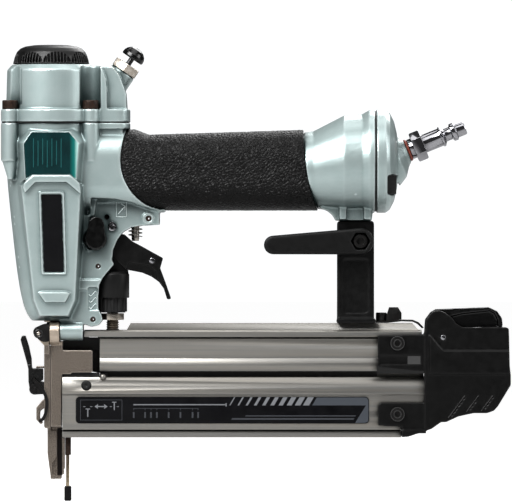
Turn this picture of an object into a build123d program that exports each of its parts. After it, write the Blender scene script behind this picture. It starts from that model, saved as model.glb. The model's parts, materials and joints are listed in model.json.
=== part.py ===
from build123d import *
import os

os.makedirs("parts", exist_ok=True)

# Frame, in millimetres: origin at the nail exit in the nose tip, on the driver's line.
# +Z runs up the driver line to the head, +X back along the magazine and handle, and
# the label side of the tool faces -Y.

# ---- driving dimensions -------------------------------------------------------------
HEAD_X = -2.0            # piston and cylinder axis, a little in front of the driver line
HEAD_R = 24.6            # outer radius of the head casting
SEAM_Z = 193.7           # joint face between housing and cylinder cap
CAP_TOP_Z = 225.6        # top of the cylinder cap casting
BOLT_DX = 21.85          # cap bolts, from the head axis
BOLT_DY = 16.0
BOLT_R = 2.5             # M5
BOLT_HEAD_R = 4.3
BOLT_HEAD_H = 4.9
GASKET_T = 0.5

BORE_R = 12.0            # cylinder bore
SLEEVE_R = 13.2
SLEEVE_Z = (96.5, 191.5)
PISTON_Z = (182.0, 191.0)
BUMPER_TOP_Z = 104.5     # the piston's stroke of 77 mm ends just above it
SPIGOT_TOP_Z = 91.0      # top of the nose body's spigot in the housing
BRAD_Z = (26.8, 76.8)    # a 50 mm brad in the magazine and nose
DRIVER_TIP_Z = 77.3      # driver tip at rest, just above the brad's head

HANDLE_LOW_Z = 146.0     # underside of the grip
GRIP_W = 39.0
GRIP_CORNER = 15.0
GRIP_WALL = 3.0
BELL_Z = 173.0           # centre height of the tail bell
BELL_R = 28.1
BELL_X = 174.3           # joint face of bell and end cap
PLUG_TILT = 22.0         # air plug, up from +X
PLUG_BASE = (192.0, 178.8)
PLUG_HEX_AF = 14.3       # 9/16 in

EAR_Y = 10.5             # outside of the trigger walls
SLOT_Y = 6.3             # inside of the trigger walls
PIVOT = (22.5, 130.5)    # trigger pivot and selector shaft, x and z
SHAFT_R = 2.5
ADJUST_X = 31.5          # depth adjuster axis
DUSTER_TILT = 34.0       # duster valve, back from vertical
DUSTER_BASE = (37.3, 221.9)

NOSE_Y = 9.5             # half width of the nose body
NAIL_Y = 1.1             # half width of the driver groove
NOSE_BOLT_Y = 8.0
NOSE_BOLT_Z = 80.5
NOSE_BOLT_R = 2.0        # M4
ROD_Y = (1.2, 2.6)       # contact arm's plate, beside the nail channel
VALVE = (43.9, 5.6)      # trigger valve axis x and body radius
CHANNEL_Y = 0.75         # half width of the nail channel in the magazine
RAIL_X = (16.2, 199.8)   # fixed magazine rail's top flange
RAIL_Y = 10.9            # half width of the rail's flanges
COVER_X = (3.8, 201.1)   # sliding magazine cover
BRACKET_X = (153.8, 173.9)
HOOK_PIVOT = (166.4, 129.4)
HINGE = (-8.4, 80.1)     # nose door hinge, x and z
LATCH = (-10.8, 48.9)    # latch lever pivot
BAIL = (-11.2, 54.0)     # bail pivot in the latch lever
RELEASE = (211.2, 77.1)  # magazine release lever pivot
COVER_SCREWS = ((186.5, 74.0), (186.5, 35.4))
COVER_SIDE_Y = 12.6      # outside of the rear cover's tabs
RUN = 0.05               # radial clearance of a running fit
SEAT = 0.1               # clearance of a seated part


# ---- helpers ------------------------------------------------------------------------
def side(*points):
    """A closed outline of (x, z) points, as a sketch in side view."""
    return Polygon(*points, align=None)


def slab(sketch, y0, y1):
    """A side-view sketch made solid from y0 to y1."""
    return extrude(Plane.XZ.offset(-y1) * sketch, amount=y1 - y0, dir=(0, -1, 0))


def both_sides(sketch, y0, y1):
    """The slab and its mirror image across the tool's centre plane."""
    return slab(sketch, y0, y1) + slab(sketch, -y1, -y0)


def run_x(sketch, x0, x1):
    """A sketch in the (y, z) plane made solid from x0 to x1."""
    return extrude(Plane.YZ.offset(x0) * sketch, amount=x1 - x0, dir=(1, 0, 0))


def block(x0, x1, y0, y1, z0, z1):
    centre = Pos((x0 + x1) / 2, (y0 + y1) / 2, (z0 + z1) / 2)
    return centre * Box(x1 - x0, y1 - y0, z1 - z0)


def rod_x(y, z, x0, x1, r):
    return Pos((x0 + x1) / 2, y, z) * Rot(0, 90, 0) * Cylinder(r, x1 - x0)


def rod_y(x, z, y0, y1, r):
    return Pos(x, (y0 + y1) / 2, z) * Rot(90, 0, 0) * Cylinder(r, y1 - y0)


def rod_z(x, y, z0, z1, r):
    return Pos(x, y, (z0 + z1) / 2) * Cylinder(r, z1 - z0)


def turned_z(x, *profile):
    """A profile of (radius, z) points turned about a vertical axis at x."""
    return Pos(x, 0, 0) * revolve(Plane.XZ * Polygon(*profile, align=None), Axis.Z)


def turned_along(origin, tilt, *profile):
    """A profile of (radius, distance) points turned about an axis that leans back.

    origin is (x, z), and tilt is the axis's angle from vertical towards +X."""
    body = revolve(Plane.XZ * Polygon(*profile, align=None), Axis.Z)
    return Pos(origin[0], 0, origin[1]) * Rot(0, tilt, 0) * body


def dot(centre, r):
    return Pos(*centre) * Circle(r)


def link(a, ra, b, rb):
    """Two round ends joined by their common tangents, in side view."""
    return make_hull((dot(a, ra) + dot(b, rb)).edges())


def group(shapes):
    return Compound(children=list(shapes))


def bolt_places():
    return [(HEAD_X + sx * BOLT_DX, sy * BOLT_DY) for sx in (-1, 1) for sy in (-1, 1)]


def coil(r, wire, z0, z1, turns):
    """A helical spring round the vertical axis through the origin."""
    height = z1 - z0 - wire
    path = Pos(0, 0, z0 + wire / 2) * Helix(height / turns, height, r)
    section = Plane(origin=path @ 0, z_dir=path % 0) * Circle(wire / 2)
    return sweep(section, path=path)


# ---- housing ------------------------------------------------------------------------
def wedge(lift):
    """Everything inside the sloping side faces of the lower head, raised by lift."""
    profile = Polygon(
        (-15.0 - lift, 80), (-25.2 - lift, 163), (-25.2 - lift, SEAM_Z),
        (25.2 + lift, SEAM_Z), (25.2 + lift, 163), (15.0 + lift, 80), align=None)
    return run_x(profile, -40, 40)


def barrel():
    """The head casting's skin: straight above, drawn in towards the nose."""
    skin = Spline((10.4, 86.2), (13.4, 90.5), (15.6, 97), (18.7, 114.5), (21.2, 136),
                  (23.9, 163.5), (HEAD_R, 176))
    closing = Polyline((HEAD_R, 176), (HEAD_R, SEAM_Z), (0, SEAM_Z), (0, 86.2), (10.4, 86.2))
    return Pos(HEAD_X, 0, 0) * revolve(Plane.XZ * make_face(skin + closing), Axis.Z)


WINDOW = ((-16.2, 182.3), (-12.0, 188.6), (8.3, 188.6), (13.5, 182.3),
          (12.2, 162.7), (9.0, 165.4), (-11.4, 165.4), (-15.2, 162.7))
LOWER_PANEL = ((-22.0, 161), (-13.2, 168), (10.6, 168), (19.0, 161), (13.6, 97),
               (9.0, 87), (-9.0, 87), (-13.2, 97))
ARCH = ((-16.6, 158.5), (-16.2, 160.6), (-11.4, 165.4), (9.0, 165.4), (14.3, 160.6),
        (14.8, 154.6), (13.6, 155.8), (7.0, 161.4), (-9.8, 161.4), (-15.4, 155.6))
STRIP = ((-7.0, 155.0), (4.7, 155.0), (5.8, 112.2), (-5.7, 112.2))
CHIN = ((-8.4, 101.2), (-6.6, 101.8), (6.8, 101.8), (8.8, 101.2), (6.2, 96.2), (-4.8, 96.2))


def window_boss():
    """The raised frame round the upper label, as on both sides of the head."""
    outer = ((-23.0, 184.6), (-17.6, 193.2), (14.6, 193.2), (20.4, 184.6),
             (18.6, 160), (10.0, 157), (-13.0, 157), (-21.6, 160))
    boss = None
    for sign in (-1, 1):
        base = Plane.XZ.offset(12.5 * sign) * side(*outer)
        face = Plane.XZ.offset(26.0 * sign) * side(*WINDOW)
        shape = loft([base.face(), face.face()], ruled=True)
        boss = shape if boss is None else boss + shape
    return boss


def side_panels():
    """Tapered lower panels with the arch, name strip frame and chin rib."""
    panel = extrude(Plane.XZ.offset(8) * side(*LOWER_PANEL), amount=22, dir=(0, -1, 0), taper=14)
    panel += mirror(panel, Plane.XZ)
    shape = panel & wedge(0)
    shape += both_sides(side(*ARCH), 10, 30) & wedge(2.2)
    shape += both_sides(side(*CHIN), 8, 30) & wedge(2.0)
    frame = offset(side(*STRIP), 1.0)
    return shape + (both_sides(frame, 8, 30) & wedge(1.2))


def bolt_columns():
    """Columns that carry the cap bolts, fading into the barrel."""
    shape = None
    for x, y in bolt_places():
        column = rod_z(x, y, 173.0, SEAM_Z, 5.0)
        column += Pos(x * 0.97, y * 0.94, 168.0) * Cone(2.0, 5.0, 10.0)
        shape = column if shape is None else shape + column
    return shape


def ears():
    """The walls either side of the trigger, down to the lower pin."""
    outline = side(
        (0, 176), (37, 176), (60, 146.6), (57.2, 145.5), (57.2, 138.4), (46.8, 137.8),
        (41.9, 137.0), (37.2, 134.3), (34.2, 130.3), (31.9, 124.8), (31.3, 119.0),
        (32.4, 116.9), (26.1, 109.2), (24.4, 105.6), (23.8, 98.5), (23.9, 92.6),
        (25.9, 88.8), (26.1, 86.4), (24.0, 83.7), (20.2, 82.9), (15.0, 84.6), (8.0, 87.0))
    walls = slab(outline, -EAR_Y, EAR_Y)
    rim = side((22.6, 171), (25.8, 171), (21.8, 142.8), (19.0, 142.8))
    flag = side((13.5, 143.5), (18.6, 143.5), (20.4, 124.4), (18.0, 124.4), (14.4, 130))
    ledge = side((13.0, 108.6), (25.8, 108.6), (24.4, 105.6), (24.0, 103.0), (13.0, 103.0))
    walls += both_sides(rim, EAR_Y - 1, EAR_Y + 2.4)
    walls += both_sides(flag, EAR_Y - 1, EAR_Y + 3.0)
    walls += both_sides(ledge, EAR_Y - 1, EAR_Y + 0.9)
    walls += both_sides(dot((51.0, 141.8), 3.2), EAR_Y - 1, EAR_Y + 0.8)
    return walls


def handle_section(x, top, grow):
    """Rounded section of the handle at x, from its level underside up to top."""
    height = top - HANDLE_LOW_Z
    rounded = RectangleRounded(GRIP_W + 2 * grow, height + 2 * grow, GRIP_CORNER + grow)
    return (Plane.YZ.offset(x) * Pos(0, HANDLE_LOW_Z + height / 2) * rounded).face()


def handle_tube(x0, x1, grow):
    """The handle between x0 and x1: its top dips behind the head and rises to the tail."""
    tops = ((5, 190.5), (44, 190.5), (51.5, 187.6), (150, 190.7))
    whole = loft([handle_section(x, top, grow) for x, top in tops], ruled=True)
    return whole & block(x0, x1, -40, 40, 120, 220)


def grip_mask():
    """Side view of the rubber grip: curved edges at the neck and at the bell."""
    front = Spline((40.6, 194), (37.0, 182), (36.6, 168), (40.9, 157.6), (60.4, 146.4))
    rear = Spline((144.2, 145), (138.6, 159.7), (136.3, 174.4), (135.6, 194))
    low = Polyline((60.4, 146.4), (60.4, 140), (144.2, 140), (144.2, 145))
    high = Line((135.6, 194), (40.6, 194))
    return make_face(front + low + rear + high)


def neck():
    """Hollow casting from the head to the front edge of the grip."""
    mask = slab(grip_mask(), -30, 30)
    core = handle_tube(8, 150, -GRIP_WALL)
    above_ears = side((20, 140), (20, 153.0), (33, 152.4), (42, 150.6), (47, 148.6), (55, 145.8),
                      (55, 140))
    shape = handle_tube(8, 62, 0.9) - both_sides(above_ears, EAR_Y, 30)
    low = ((22, 168), (22, 153.5), (33, 152.6), (42, 150.8), (50, 147.2), (57, 145.0), (59.5, 147.0),
           (44, 168))
    high = ((22, 168), (22, 162), (33, 161), (38.5, 159.5), (46, 155.5), (53, 151.5), (54, 153.0),
            (40, 168))
    for sign in (-1, 1):
        inner = Plane.XZ.offset((EAR_Y - 0.2) * sign) * side(*low)
        outer = Plane.XZ.offset(20.0 * sign) * side(*high)
        shape += loft([inner.face(), outer.face()], ruled=True)
    return (shape - mask) + core


def rear_block():
    """Flange and column behind the head, under the exhaust block of the cap."""
    flange = Pos(20.5, 0) * RectangleRounded(41.0, 34, 7)
    shape = extrude(Plane.XY.offset(190.5) * flange, amount=SEAM_Z - 190.5)
    column = side((5, 191), (37.6, 191), (36.6, 185), (34.4, 174.0), (30.0, 171.6), (5, 171.6))
    return shape + slab(column, -15.4, 15.4)


def bell():
    """The tail: widens from the handle to the end cap's joint, with the bracket foot."""
    rings = ((132, 168.0, 20.0), (141, 168.3, 21.1), (157.5, 171.7, 26.2), (167.5, 172.3, 26.4),
             (171.2, 172.9, 27.9), (BELL_X, BELL_Z, BELL_R))
    shape = loft([(Plane.YZ.offset(x) * Pos(0, z) * Circle(r)).face() for x, z, r in rings], ruled=True)
    foot = side((144.6, 147.4), (148.5, 145.9), (151.0, 143.9), (152.5, 141.6), (152.8, 140.65),
                (172.6, 140.65), (173.2, 146), (173, 150), (160, 160), (144, 153))
    shape += slab(foot, -9.5, 9.5) + block(155.6, 171.4, -5.5, 5.5, 139.1, 145)
    for x in (156.9, 170.1):
        shape += slab(Pos(x, 147.6) * RectangleRounded(3.8, 13, 1.2), -11.2, 11.2)
    return shape - slab(grip_mask(), -30, 30)


def nose_bosses():
    """Two horizontal bosses under the head that take the nose bolts."""
    shape = None
    for y in (-NOSE_BOLT_Y, NOSE_BOLT_Y):
        boss = rod_x(y, NOSE_BOLT_Z, 2.9, 15.6, 5.1) + block(2.9, 14.0, y - 2.0, y + 4.4, 81, 90)
        shape = boss if shape is None else shape + boss
    return shape


def housing_hollows():
    """Air space, sleeve bore, trigger slot and the passages for driver and contact arm."""
    z0 = SLEEVE_Z[0] - 0.1
    r = SLEEVE_R + SEAT
    cuts = turned_z(HEAD_X, (0, SPIGOT_TOP_Z + 0.1), (10.7, SPIGOT_TOP_Z + 0.1), (11.8, z0), (r, z0),
                    (r, 110), (15.6, 118), (20.4, 160), (20.4, SEAM_Z + 1), (0, SEAM_Z + 1))
    cuts += rod_z(0, 0, 85.2, SPIGOT_TOP_Z + 1, 6.0)
    cuts += run_x(Pos(0, 170) * RectangleRounded(26, 28, 8), 14, 130)
    cuts += rod_x(0, 170.5, 128, BELL_X + 1, 15.0)
    cuts += rod_x(0, BELL_Z, 152, BELL_X + 1, 20.0)
    slot = side((16.8, 96), (17.3, 118), (17.4, 142.5), (30, 142.5), (34.8, 139.4),
                (70, 139.4), (70, 70), (4.0, 70), (4.0, 88), (10, 96))
    cuts += slab(slot, -SLOT_Y, SLOT_Y)
    cuts += rod_z(VALVE[0], 0, 138, 157, VALVE[1] + SEAT)
    cuts += rod_z(ADJUST_X, 0, 96, 114, 9.1 + SEAT)
    return cuts


def housing_holes():
    """Bores for bolts, pins, selector shaft and the recesses of both labels."""
    cuts = rod_y(PIVOT[0], PIVOT[1], -20, 20, SHAFT_R + RUN)
    for x, y in bolt_places():
        cuts += rod_z(x, y, 175.0, SEAM_Z + 1, BOLT_R + RUN)
    for x, z, r in pin_places():
        cuts += rod_y(x, z, -20, 20, r + RUN)
    for y in (-NOSE_BOLT_Y, NOSE_BOLT_Y):
        cuts += rod_x(y, NOSE_BOLT_Z, 2, 13.2, NOSE_BOLT_R + RUN)
    for sign in (-1, 1):
        cuts += Pos(0, sign * (EAR_Y + 5), 0) * rod_y(PIVOT[0], PIVOT[1], -5, 5, 6.6)
    cuts += rod_z(163.8, 0, 139, 152, 2.5 + RUN)
    cuts += both_sides(side(*WINDOW), 25.4, 30)
    cuts += both_sides(side(*STRIP), 8, 30) - wedge(0)
    marks = Pos(20.9, 98.0) * RectangleRounded(5.4, 12.8, 0.5)
    return cuts + both_sides(marks, EAR_Y - 0.5, 30)


def pin_places():
    """Cross pins in the trigger walls: x, z and radius."""
    return ((51.2, 141.8, 1.5), (23.8, 115.8, 1.2), (21.0, 86.9, 1.2))


def housing():
    shape = barrel() + window_boss() + side_panels() + bolt_columns()
    grip_space = handle_tube(30, 150, 0) & slab(grip_mask(), -30, 30)
    shape += (ears() + rear_block() - grip_space) + neck() + bell() + nose_bosses()
    return shape - housing_hollows() - housing_holes()


# ---- head ---------------------------------------------------------------------------
def cap_plan(grow):
    """Plan of the cylinder cap's joint face: barrel, bolt corners and exhaust block."""
    plan = Pos(HEAD_X, 0) * Circle(26.0 + grow)
    for x, y in bolt_places():
        plan += Pos(x, y) * Circle(5.0 + grow)
    return plan + Pos(20.5 + grow / 2, 0) * RectangleRounded(41.0 + grow, 34 + 2 * grow, 7)


def cylinder_cap():
    z0 = SEAM_Z + GASKET_T
    shape = extrude(Plane.XY.offset(z0) * cap_plan(0), amount=201.1 - z0)
    top = turned_z(HEAD_X, (0, 200), (HEAD_R, 200), (HEAD_R - 0.6, 222.6), (HEAD_R - 3.4, CAP_TOP_Z),
                   (0, CAP_TOP_Z))
    rear = side((5, 200), (39.6, 200), (39.0, 209.8), (35.4, 219.6), (31.6, 224.4), (5, 224.4))
    top += slab(rear, -14.5, 14.5)
    panel = side((12, 200.5), (28.7, 200.5), (28.7, 211.0), (28.2, 217.0), (26.8, 221.6),
                 (24.6, 224.8), (12, 224.8))
    top += both_sides(panel, 10, 17.0)
    for x, y, r in ((-18.8, 18.0, 1.5), (16.6, 17.6, 2.4)):
        top -= rod_z(x, -y, 203.5, 240, r) + rod_z(x, y, 203.5, 240, r)
    for x, y in bolt_places():
        top -= rod_z(x, y, 199.9, 240, 5.3)
    shape += top
    shape += turned_along(DUSTER_BASE, DUSTER_TILT, (0, -16), (7.1, -16), (7.1, -0.5),
                          (6.7, 0), (0, 0))
    shape += rod_z(HEAD_X, 0, CAP_TOP_Z - 2, 229.0, 15.0)
    shape -= rod_z(HEAD_X, 0, SEAM_Z - 1, 214.0, 20.5)
    shape -= rod_z(HEAD_X, 0, 216.0, 235, 2.0 + RUN)
    for x in (-11, 7):
        shape -= rod_z(x, 0, 210, 235, 3.0)
    for x, y in bolt_places():
        shape -= rod_z(x, y, SEAM_Z, 205, BOLT_R + RUN)
    bore = turned_along(DUSTER_BASE, DUSTER_TILT, (0, -14), (4.0, -14), (4.0, 0.5), (0, 0.5))
    return shape - bore


def cap_gasket():
    plan = offset(cap_plan(0), -0.4) - Pos(HEAD_X, 0) * Circle(20.5)
    for x, y in bolt_places():
        plan -= Pos(x, y) * Circle(BOLT_R + 0.2)
    return extrude(Plane.XY.offset(SEAM_Z) * plan, amount=GASKET_T)


def socket_screw(head_r, head_h, shank_r, length, key):
    """A socket screw on +Z: the head sits on z = 0 and the shank runs down."""
    body = Pos(0, 0, head_h / 2) * Cylinder(head_r, head_h)
    body = chamfer(body.faces().sort_by(Axis.Z)[-1].edges(), 0.4)
    body -= extrude(Plane.XY.offset(head_h * 0.45) * RegularPolygon(key / 2, 6, major_radius=False),
                    amount=head_h)
    return body + Pos(0, 0, -length / 2) * Cylinder(shank_r, length)


def cap_bolts():
    bolt = socket_screw(BOLT_HEAD_R, BOLT_HEAD_H, BOLT_R, 25, 4)
    return group(Pos(x, y, 201.1) * bolt for x, y in bolt_places())


def exhaust_deflector():
    """Round cap that turns to aim the exhaust, with eight ribbed arches in its rim."""
    shape = turned_z(HEAD_X, (0, 229.4), (15.4, 229.4), (15.4, 226.0), (20.8, 226.0),
                     (20.4, 228.0), (19.7, 230.4), (18.6, 232.6), (16.8, 234.4), (14.2, 235.5),
                     (9.0, 236.3), (8.4, 235.8), (0, 235.8))
    arch = Pos(0, 226.6) * Ellipse(7.3, 5.6)
    for i in range(8):
        turn = Rot(0, 0, 11 + 45 * i)
        pocket = slab(arch, -24, -18.2) & slab(Pos(0, 230.0) * Rectangle(20, 7.2), -24, -18.2)
        for rib in range(7):
            x = -5.4 + 1.8 * rib
            pocket -= block(x - 0.3, x + 0.3, -24, -10, 226, 233)
        shape -= Pos(HEAD_X, 0, 0) * turn * pocket
    shape -= rod_z(HEAD_X, 0, 225, 240, 2.0 + RUN)
    return shape - rod_z(HEAD_X, 0, 232.4, 240, 4.4)


def deflector_screw():
    return Pos(HEAD_X, 0, 232.4) * socket_screw(4.0, 3.6, 2.0, 16, 3)


def duster_bushing():
    """Hexagon bushing that holds the blow-gun button."""
    flats = Plane.XY * RegularPolygon(7.05, 6, major_radius=False, rotation=30)
    body = extrude(flats, amount=4.7) + Pos(0, 0, -5) * Cylinder(3.9, 10)
    body = body - Pos(0, 0, -4) * Cylinder(1.5 + RUN, 20)
    return Pos(DUSTER_BASE[0], 0, DUSTER_BASE[1]) * Rot(0, DUSTER_TILT, 0) * body


def duster_button():
    """Mushroom button on its stem; pressing it opens the blow-off valve."""
    return turned_along(DUSTER_BASE, DUSTER_TILT, (0, -9), (1.5, -9), (1.5, 8.4), (6.0, 8.4),
                        (6.4, 9.2), (6.2, 10.8), (5.4, 12.4), (3.9, 13.8), (2.0, 14.6), (0, 14.9))


def head_valve():
    """Sleeve valve above the cylinder that opens to fire."""
    return turned_z(HEAD_X, (BORE_R + 0.5, 192.2), (20.4, 192.2), (20.4, 203), (17, 203),
                    (17, 196), (BORE_R + 0.5, 196))


def head_valve_spring():
    return Pos(HEAD_X, 0, 0) * coil(18.6, 1.4, 203.1, 213.9, 3.5)


def cylinder_sleeve():
    return turned_z(HEAD_X, (BORE_R, SLEEVE_Z[0]), (SLEEVE_R, SLEEVE_Z[0]),
                    (SLEEVE_R, SLEEVE_Z[1]), (BORE_R, SLEEVE_Z[1]))


def piston():
    z0, z1 = PISTON_Z
    r = BORE_R - RUN
    shape = turned_z(HEAD_X, (0, z0), (r - 1.5, z0), (r, z0 + 1.5), (r, z0 + 3.5),
                     (r - 2.0, z0 + 3.5), (r - 2.0, z0 + 6.3), (r, z0 + 6.3), (r, z1), (0, z1))
    return shape - block(-0.72, 0.72, -1.02, 1.02, z0 - 1, z0 + 4)


def piston_ring():
    z0 = PISTON_Z[0] + 3.6
    r = BORE_R - RUN
    return turned_z(HEAD_X, (r - 1.95, z0), (r, z0), (r, z0 + 2.6), (r - 1.95, z0 + 2.6))


def driver_blade():
    return block(-0.7, 0.7, -1.0, 1.0, DRIVER_TIP_Z, PISTON_Z[0] + 3.9)


def bumper():
    """Rubber ring that stops the piston at the bottom of its stroke."""
    z0 = SPIGOT_TOP_Z + 0.15
    shape = turned_z(HEAD_X, (0, z0), (10.5, z0), (11.6, z0 + 5.2), (11.7, BUMPER_TOP_Z - 3),
                     (9.6, BUMPER_TOP_Z), (0, BUMPER_TOP_Z))
    return shape - rod_z(0, 0, 80, 130, 2.6)


# ---- handle and tail ----------------------------------------------------------------
def handle_grip():
    sleeve = handle_tube(30, 150, 0) - handle_tube(30, 150, SEAT - GRIP_WALL)
    return sleeve & slab(grip_mask(), -30, 30)


def end_cap():
    """Turned cover on the bell with the slanted boss for the air plug."""
    profile = Polygon((0, 175.1), (BELL_R, 175.1), (BELL_R, 180.2), (26.4, 182.4),
                      (21.8, 184.8), (15, 186.4), (0, 187.0), align=None)
    dome = Pos(0, 0, BELL_Z) * Rot(0, 90, 0) * revolve(Plane.XZ * profile, Axis.Z)
    spigot = rod_x(0, BELL_Z, 168, 176, 19.8) - rod_x(0, BELL_Z, 166, 178, 16.5)
    boss = turned_along(PLUG_BASE, 90 - PLUG_TILT, (0, -11), (16.4, -11), (13.2, -5.6), (8.4, -2.2),
                        (6.9, -0.6), (6.4, 0), (0, 0))
    bore = turned_along(PLUG_BASE, 90 - PLUG_TILT, (0, -20), (5.05, -20), (5.05, 1), (0, 1))
    notch = block(180.9, 190, -29, -11, 154.8, 165.2)
    return dome + spigot + boss - bore - notch


def end_cap_seal():
    return rod_x(0, BELL_Z, BELL_X + 0.05, 175.05, BELL_R - 0.7) - rod_x(0, BELL_Z, 170, 180, 20.1)


def end_cap_insert():
    """Block let into the end cap, standing a little proud of its slope."""
    slope = Pos(183.45, 0, BELL_Z) * Rot(0, 90, 0) * Cone(26.9, 23.6, 5.7)
    return block(181.0, 185.8, -28, -11.1, 154.9, 165.1) & slope


def air_plug():
    """Quarter-inch quick-connect plug: thread, hexagon, neck and nose."""
    tilt = 90 - PLUG_TILT
    shape = turned_along(PLUG_BASE, tilt, (2.6, -9), (5.0, -9), (5.0, 1.5), (5.6, 1.7), (5.6, 3.9),
                         (5.0, 3.9), (5.0, 19.6), (5.6, 19.8), (5.6, 20.8), (4.4, 21.4),
                         (3.55, 22.2), (3.55, 25.6), (4.9, 26.2), (4.95, 28.4), (3.9, 28.8),
                         (3.9, 33.2), (3.5, 34.0), (2.6, 34.0))
    flats = RegularPolygon(PLUG_HEX_AF / 2, 6, major_radius=False)
    hexagon = extrude(Plane.XY.offset(3.9) * flats, amount=5.7) - Pos(0, 0, 6) * Cylinder(3, 20)
    crown = revolve(Plane.XZ * Polygon((0, 3.4), (7.2, 3.4), (8.4, 4.6), (8.4, 8.9), (7.2, 10.1),
                                       (0, 10.1), align=None), Axis.Z)
    place = Pos(PLUG_BASE[0], 0, PLUG_BASE[1]) * Rot(0, tilt, 0)
    return shape + place * (hexagon & crown)


def rear_bracket():
    """Arm that ties the tail of the handle to the magazine rail."""
    x0, x1 = BRACKET_X
    arm = Pos((x0 + x1) / 2, (85 + 140.6) / 2) * RectangleRounded(x1 - x0, 140.6 - 85, 1.8)
    shape = slab(arm, -7, 7)
    foot = Pos((x0 + x1) / 2 + 0.3, 85.2) * RectangleRounded(x1 - x0 + 1.2, 4.6, 1.2)
    shape += slab(foot, -8.6, 8.6) - block(150, 180, -20, 20, 80, 85.0)
    shape -= slab(Pos((x0 + x1) / 2, 105) * RectangleRounded(x1 - x0 - 6, 30, 2), -20, -5)
    shape += slab(Pos((x0 + x1) / 2, 105) * RectangleRounded(x1 - x0 - 5.8, 30.2, 2), -6.6, -4.9)
    shape -= rod_y(HOOK_PIVOT[0], HOOK_PIVOT[1], -20, -3.5, 2.5 + RUN)
    shape -= block(155.5, 171.5, -5.6, 5.6, 139.0, 142)
    return shape - rod_z(163.8, 0, 70, 150, 2.5 + RUN)


def bracket_screws():
    """Long screw up through the bracket into the bell's foot, and the catch spring's screw."""
    long_screw = rod_z(163.8, 0, 85.3, 149, 2.5)
    short_screw = Pos(177.9, 0, 86.05) * socket_screw(3.0, 4.6, 1.5, 0.6, 2.5)
    return group([long_screw, short_screw])


# ---- trigger group ------------------------------------------------------------------
def selector_shaft():
    """Switching knob and the shaft that carries the trigger."""
    knob = link(PIVOT, 5.4, (22.9, 138.4), 4.2)
    shape = slab(knob, -EAR_Y - 7.0, -EAR_Y - 3.2)
    shape += slab(dot(PIVOT, 6.1), -EAR_Y - 3.2, -EAR_Y - 0.2)
    return shape + rod_y(PIVOT[0], PIVOT[1], -EAR_Y - 1, EAR_Y + 1.2, SHAFT_R)


def shaft_clip():
    x, z = PIVOT
    return rod_y(x, z, EAR_Y + 0.1, EAR_Y + 0.9, 4.6) - rod_y(x, z, 0, 20, SHAFT_R)


def trigger():
    """Curved finger lever, a U channel hung on the selector shaft."""
    outline = side(
        (38.0, 133.2), (42.2, 129.4), (46.9, 127.0), (59.0, 120.3), (57.4, 114.8), (60.3, 107.0),
        (63.5, 97.8), (61.2, 97.8), (59.4, 103.6), (56.8, 107.2), (52.8, 110.1), (47.6, 112.3),
        (39.2, 113.9), (34.2, 118.5), (27.0, 124.0), (21.4, 126.2), (18.4, 129.4), (19.6, 133.6),
        (24.6, 134.8), (32.0, 133.8))
    outline = fillet(outline.vertices(), 0.7)
    shape = slab(outline, -5.8, 5.8)
    inside = side((10, 140), (70, 140), (70, 123.2), (57.0, 116.0), (46, 114.9), (37.5, 117.2),
                  (32, 122.0), (10, 122.0))
    shape -= slab(inside, -4.2, 4.2)
    finger = side((40.2, 118.0), (52.0, 116.2), (55.2, 113.0), (56.2, 106.0), (50, 100), (36, 108))
    shape -= both_sides(finger, 5.1, 7)
    shape -= slab(side((14, 140), (14, 110), (33, 110), (38.5, 116.8), (33, 124), (26, 140)), -4.2, 4.2)
    shape -= rod_y(PIVOT[0], PIVOT[1], -10, 10, SHAFT_R + RUN)
    return shape - rod_y(53.0, 118.9, -10, 10, 1.5 + RUN)


def trigger_pin():
    return rod_y(53.0, 118.9, -5.7, 5.7, 1.5)


def trigger_arm():
    """Inner lever: the contact arm lifts its front end so that the trigger can fire."""
    outline = side((33.4, 123.0), (33.4, 125.4), (44, 127.8), (50, 124.5), (55.6, 120.2),
                   (55.4, 117.6), (52.4, 116.5), (47, 118.6))
    outline = fillet(outline.vertices(), 0.8)
    return slab(outline, -3.8, 3.8) - rod_y(53.0, 118.9, -10, 10, 1.5 + RUN)


def trigger_valve():
    """Pilot valve body pressed up into the neck."""
    x, r = VALVE
    return turned_z(x, (2.2, 140.6), (r, 140.6), (r, 156.9), (2.2, 156.9))


def valve_plunger():
    return turned_z(VALVE[0], (0, 129.6), (1.9, 129.6), (2.1, 131.0), (2.1, 150), (0, 150))


def plunger_spring():
    return Pos(VALVE[0], 0, 0) * coil(3.6, 0.6, 131.6, 140.4, 4)


def cross_pins():
    """Roll pins across the trigger walls, and the two hinge pins of the nose door."""
    pins = [rod_y(x, z, -EAR_Y - 0.2, EAR_Y + 0.2, r) - rod_y(x, z, -20, 20, 0.5)
            for x, z, r in pin_places()]
    for sign in (-1, 1):
        pins.append(Pos(0, 12.2 * sign, 0) * rod_y(HINGE[0], HINGE[1], -2, 2, 1.5))
    return group(pins)


def dial_screw():
    """Cross-head screw beside the selector, and the knob's stop pin."""
    screw = rod_y(31.5, 137.5, -EAR_Y - 1.5, -EAR_Y - 0.05, 2.4)
    cross = block(30.2, 32.8, -EAR_Y - 1.6, -EAR_Y - 0.8, 137.2, 137.8)
    cross += block(31.2, 31.8, -EAR_Y - 1.6, -EAR_Y - 0.8, 136.2, 138.8)
    stop = rod_y(28.6, 142.6, -EAR_Y - 2.5, -EAR_Y - 0.05, 1.4)
    return group([screw - cross, stop])


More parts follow.
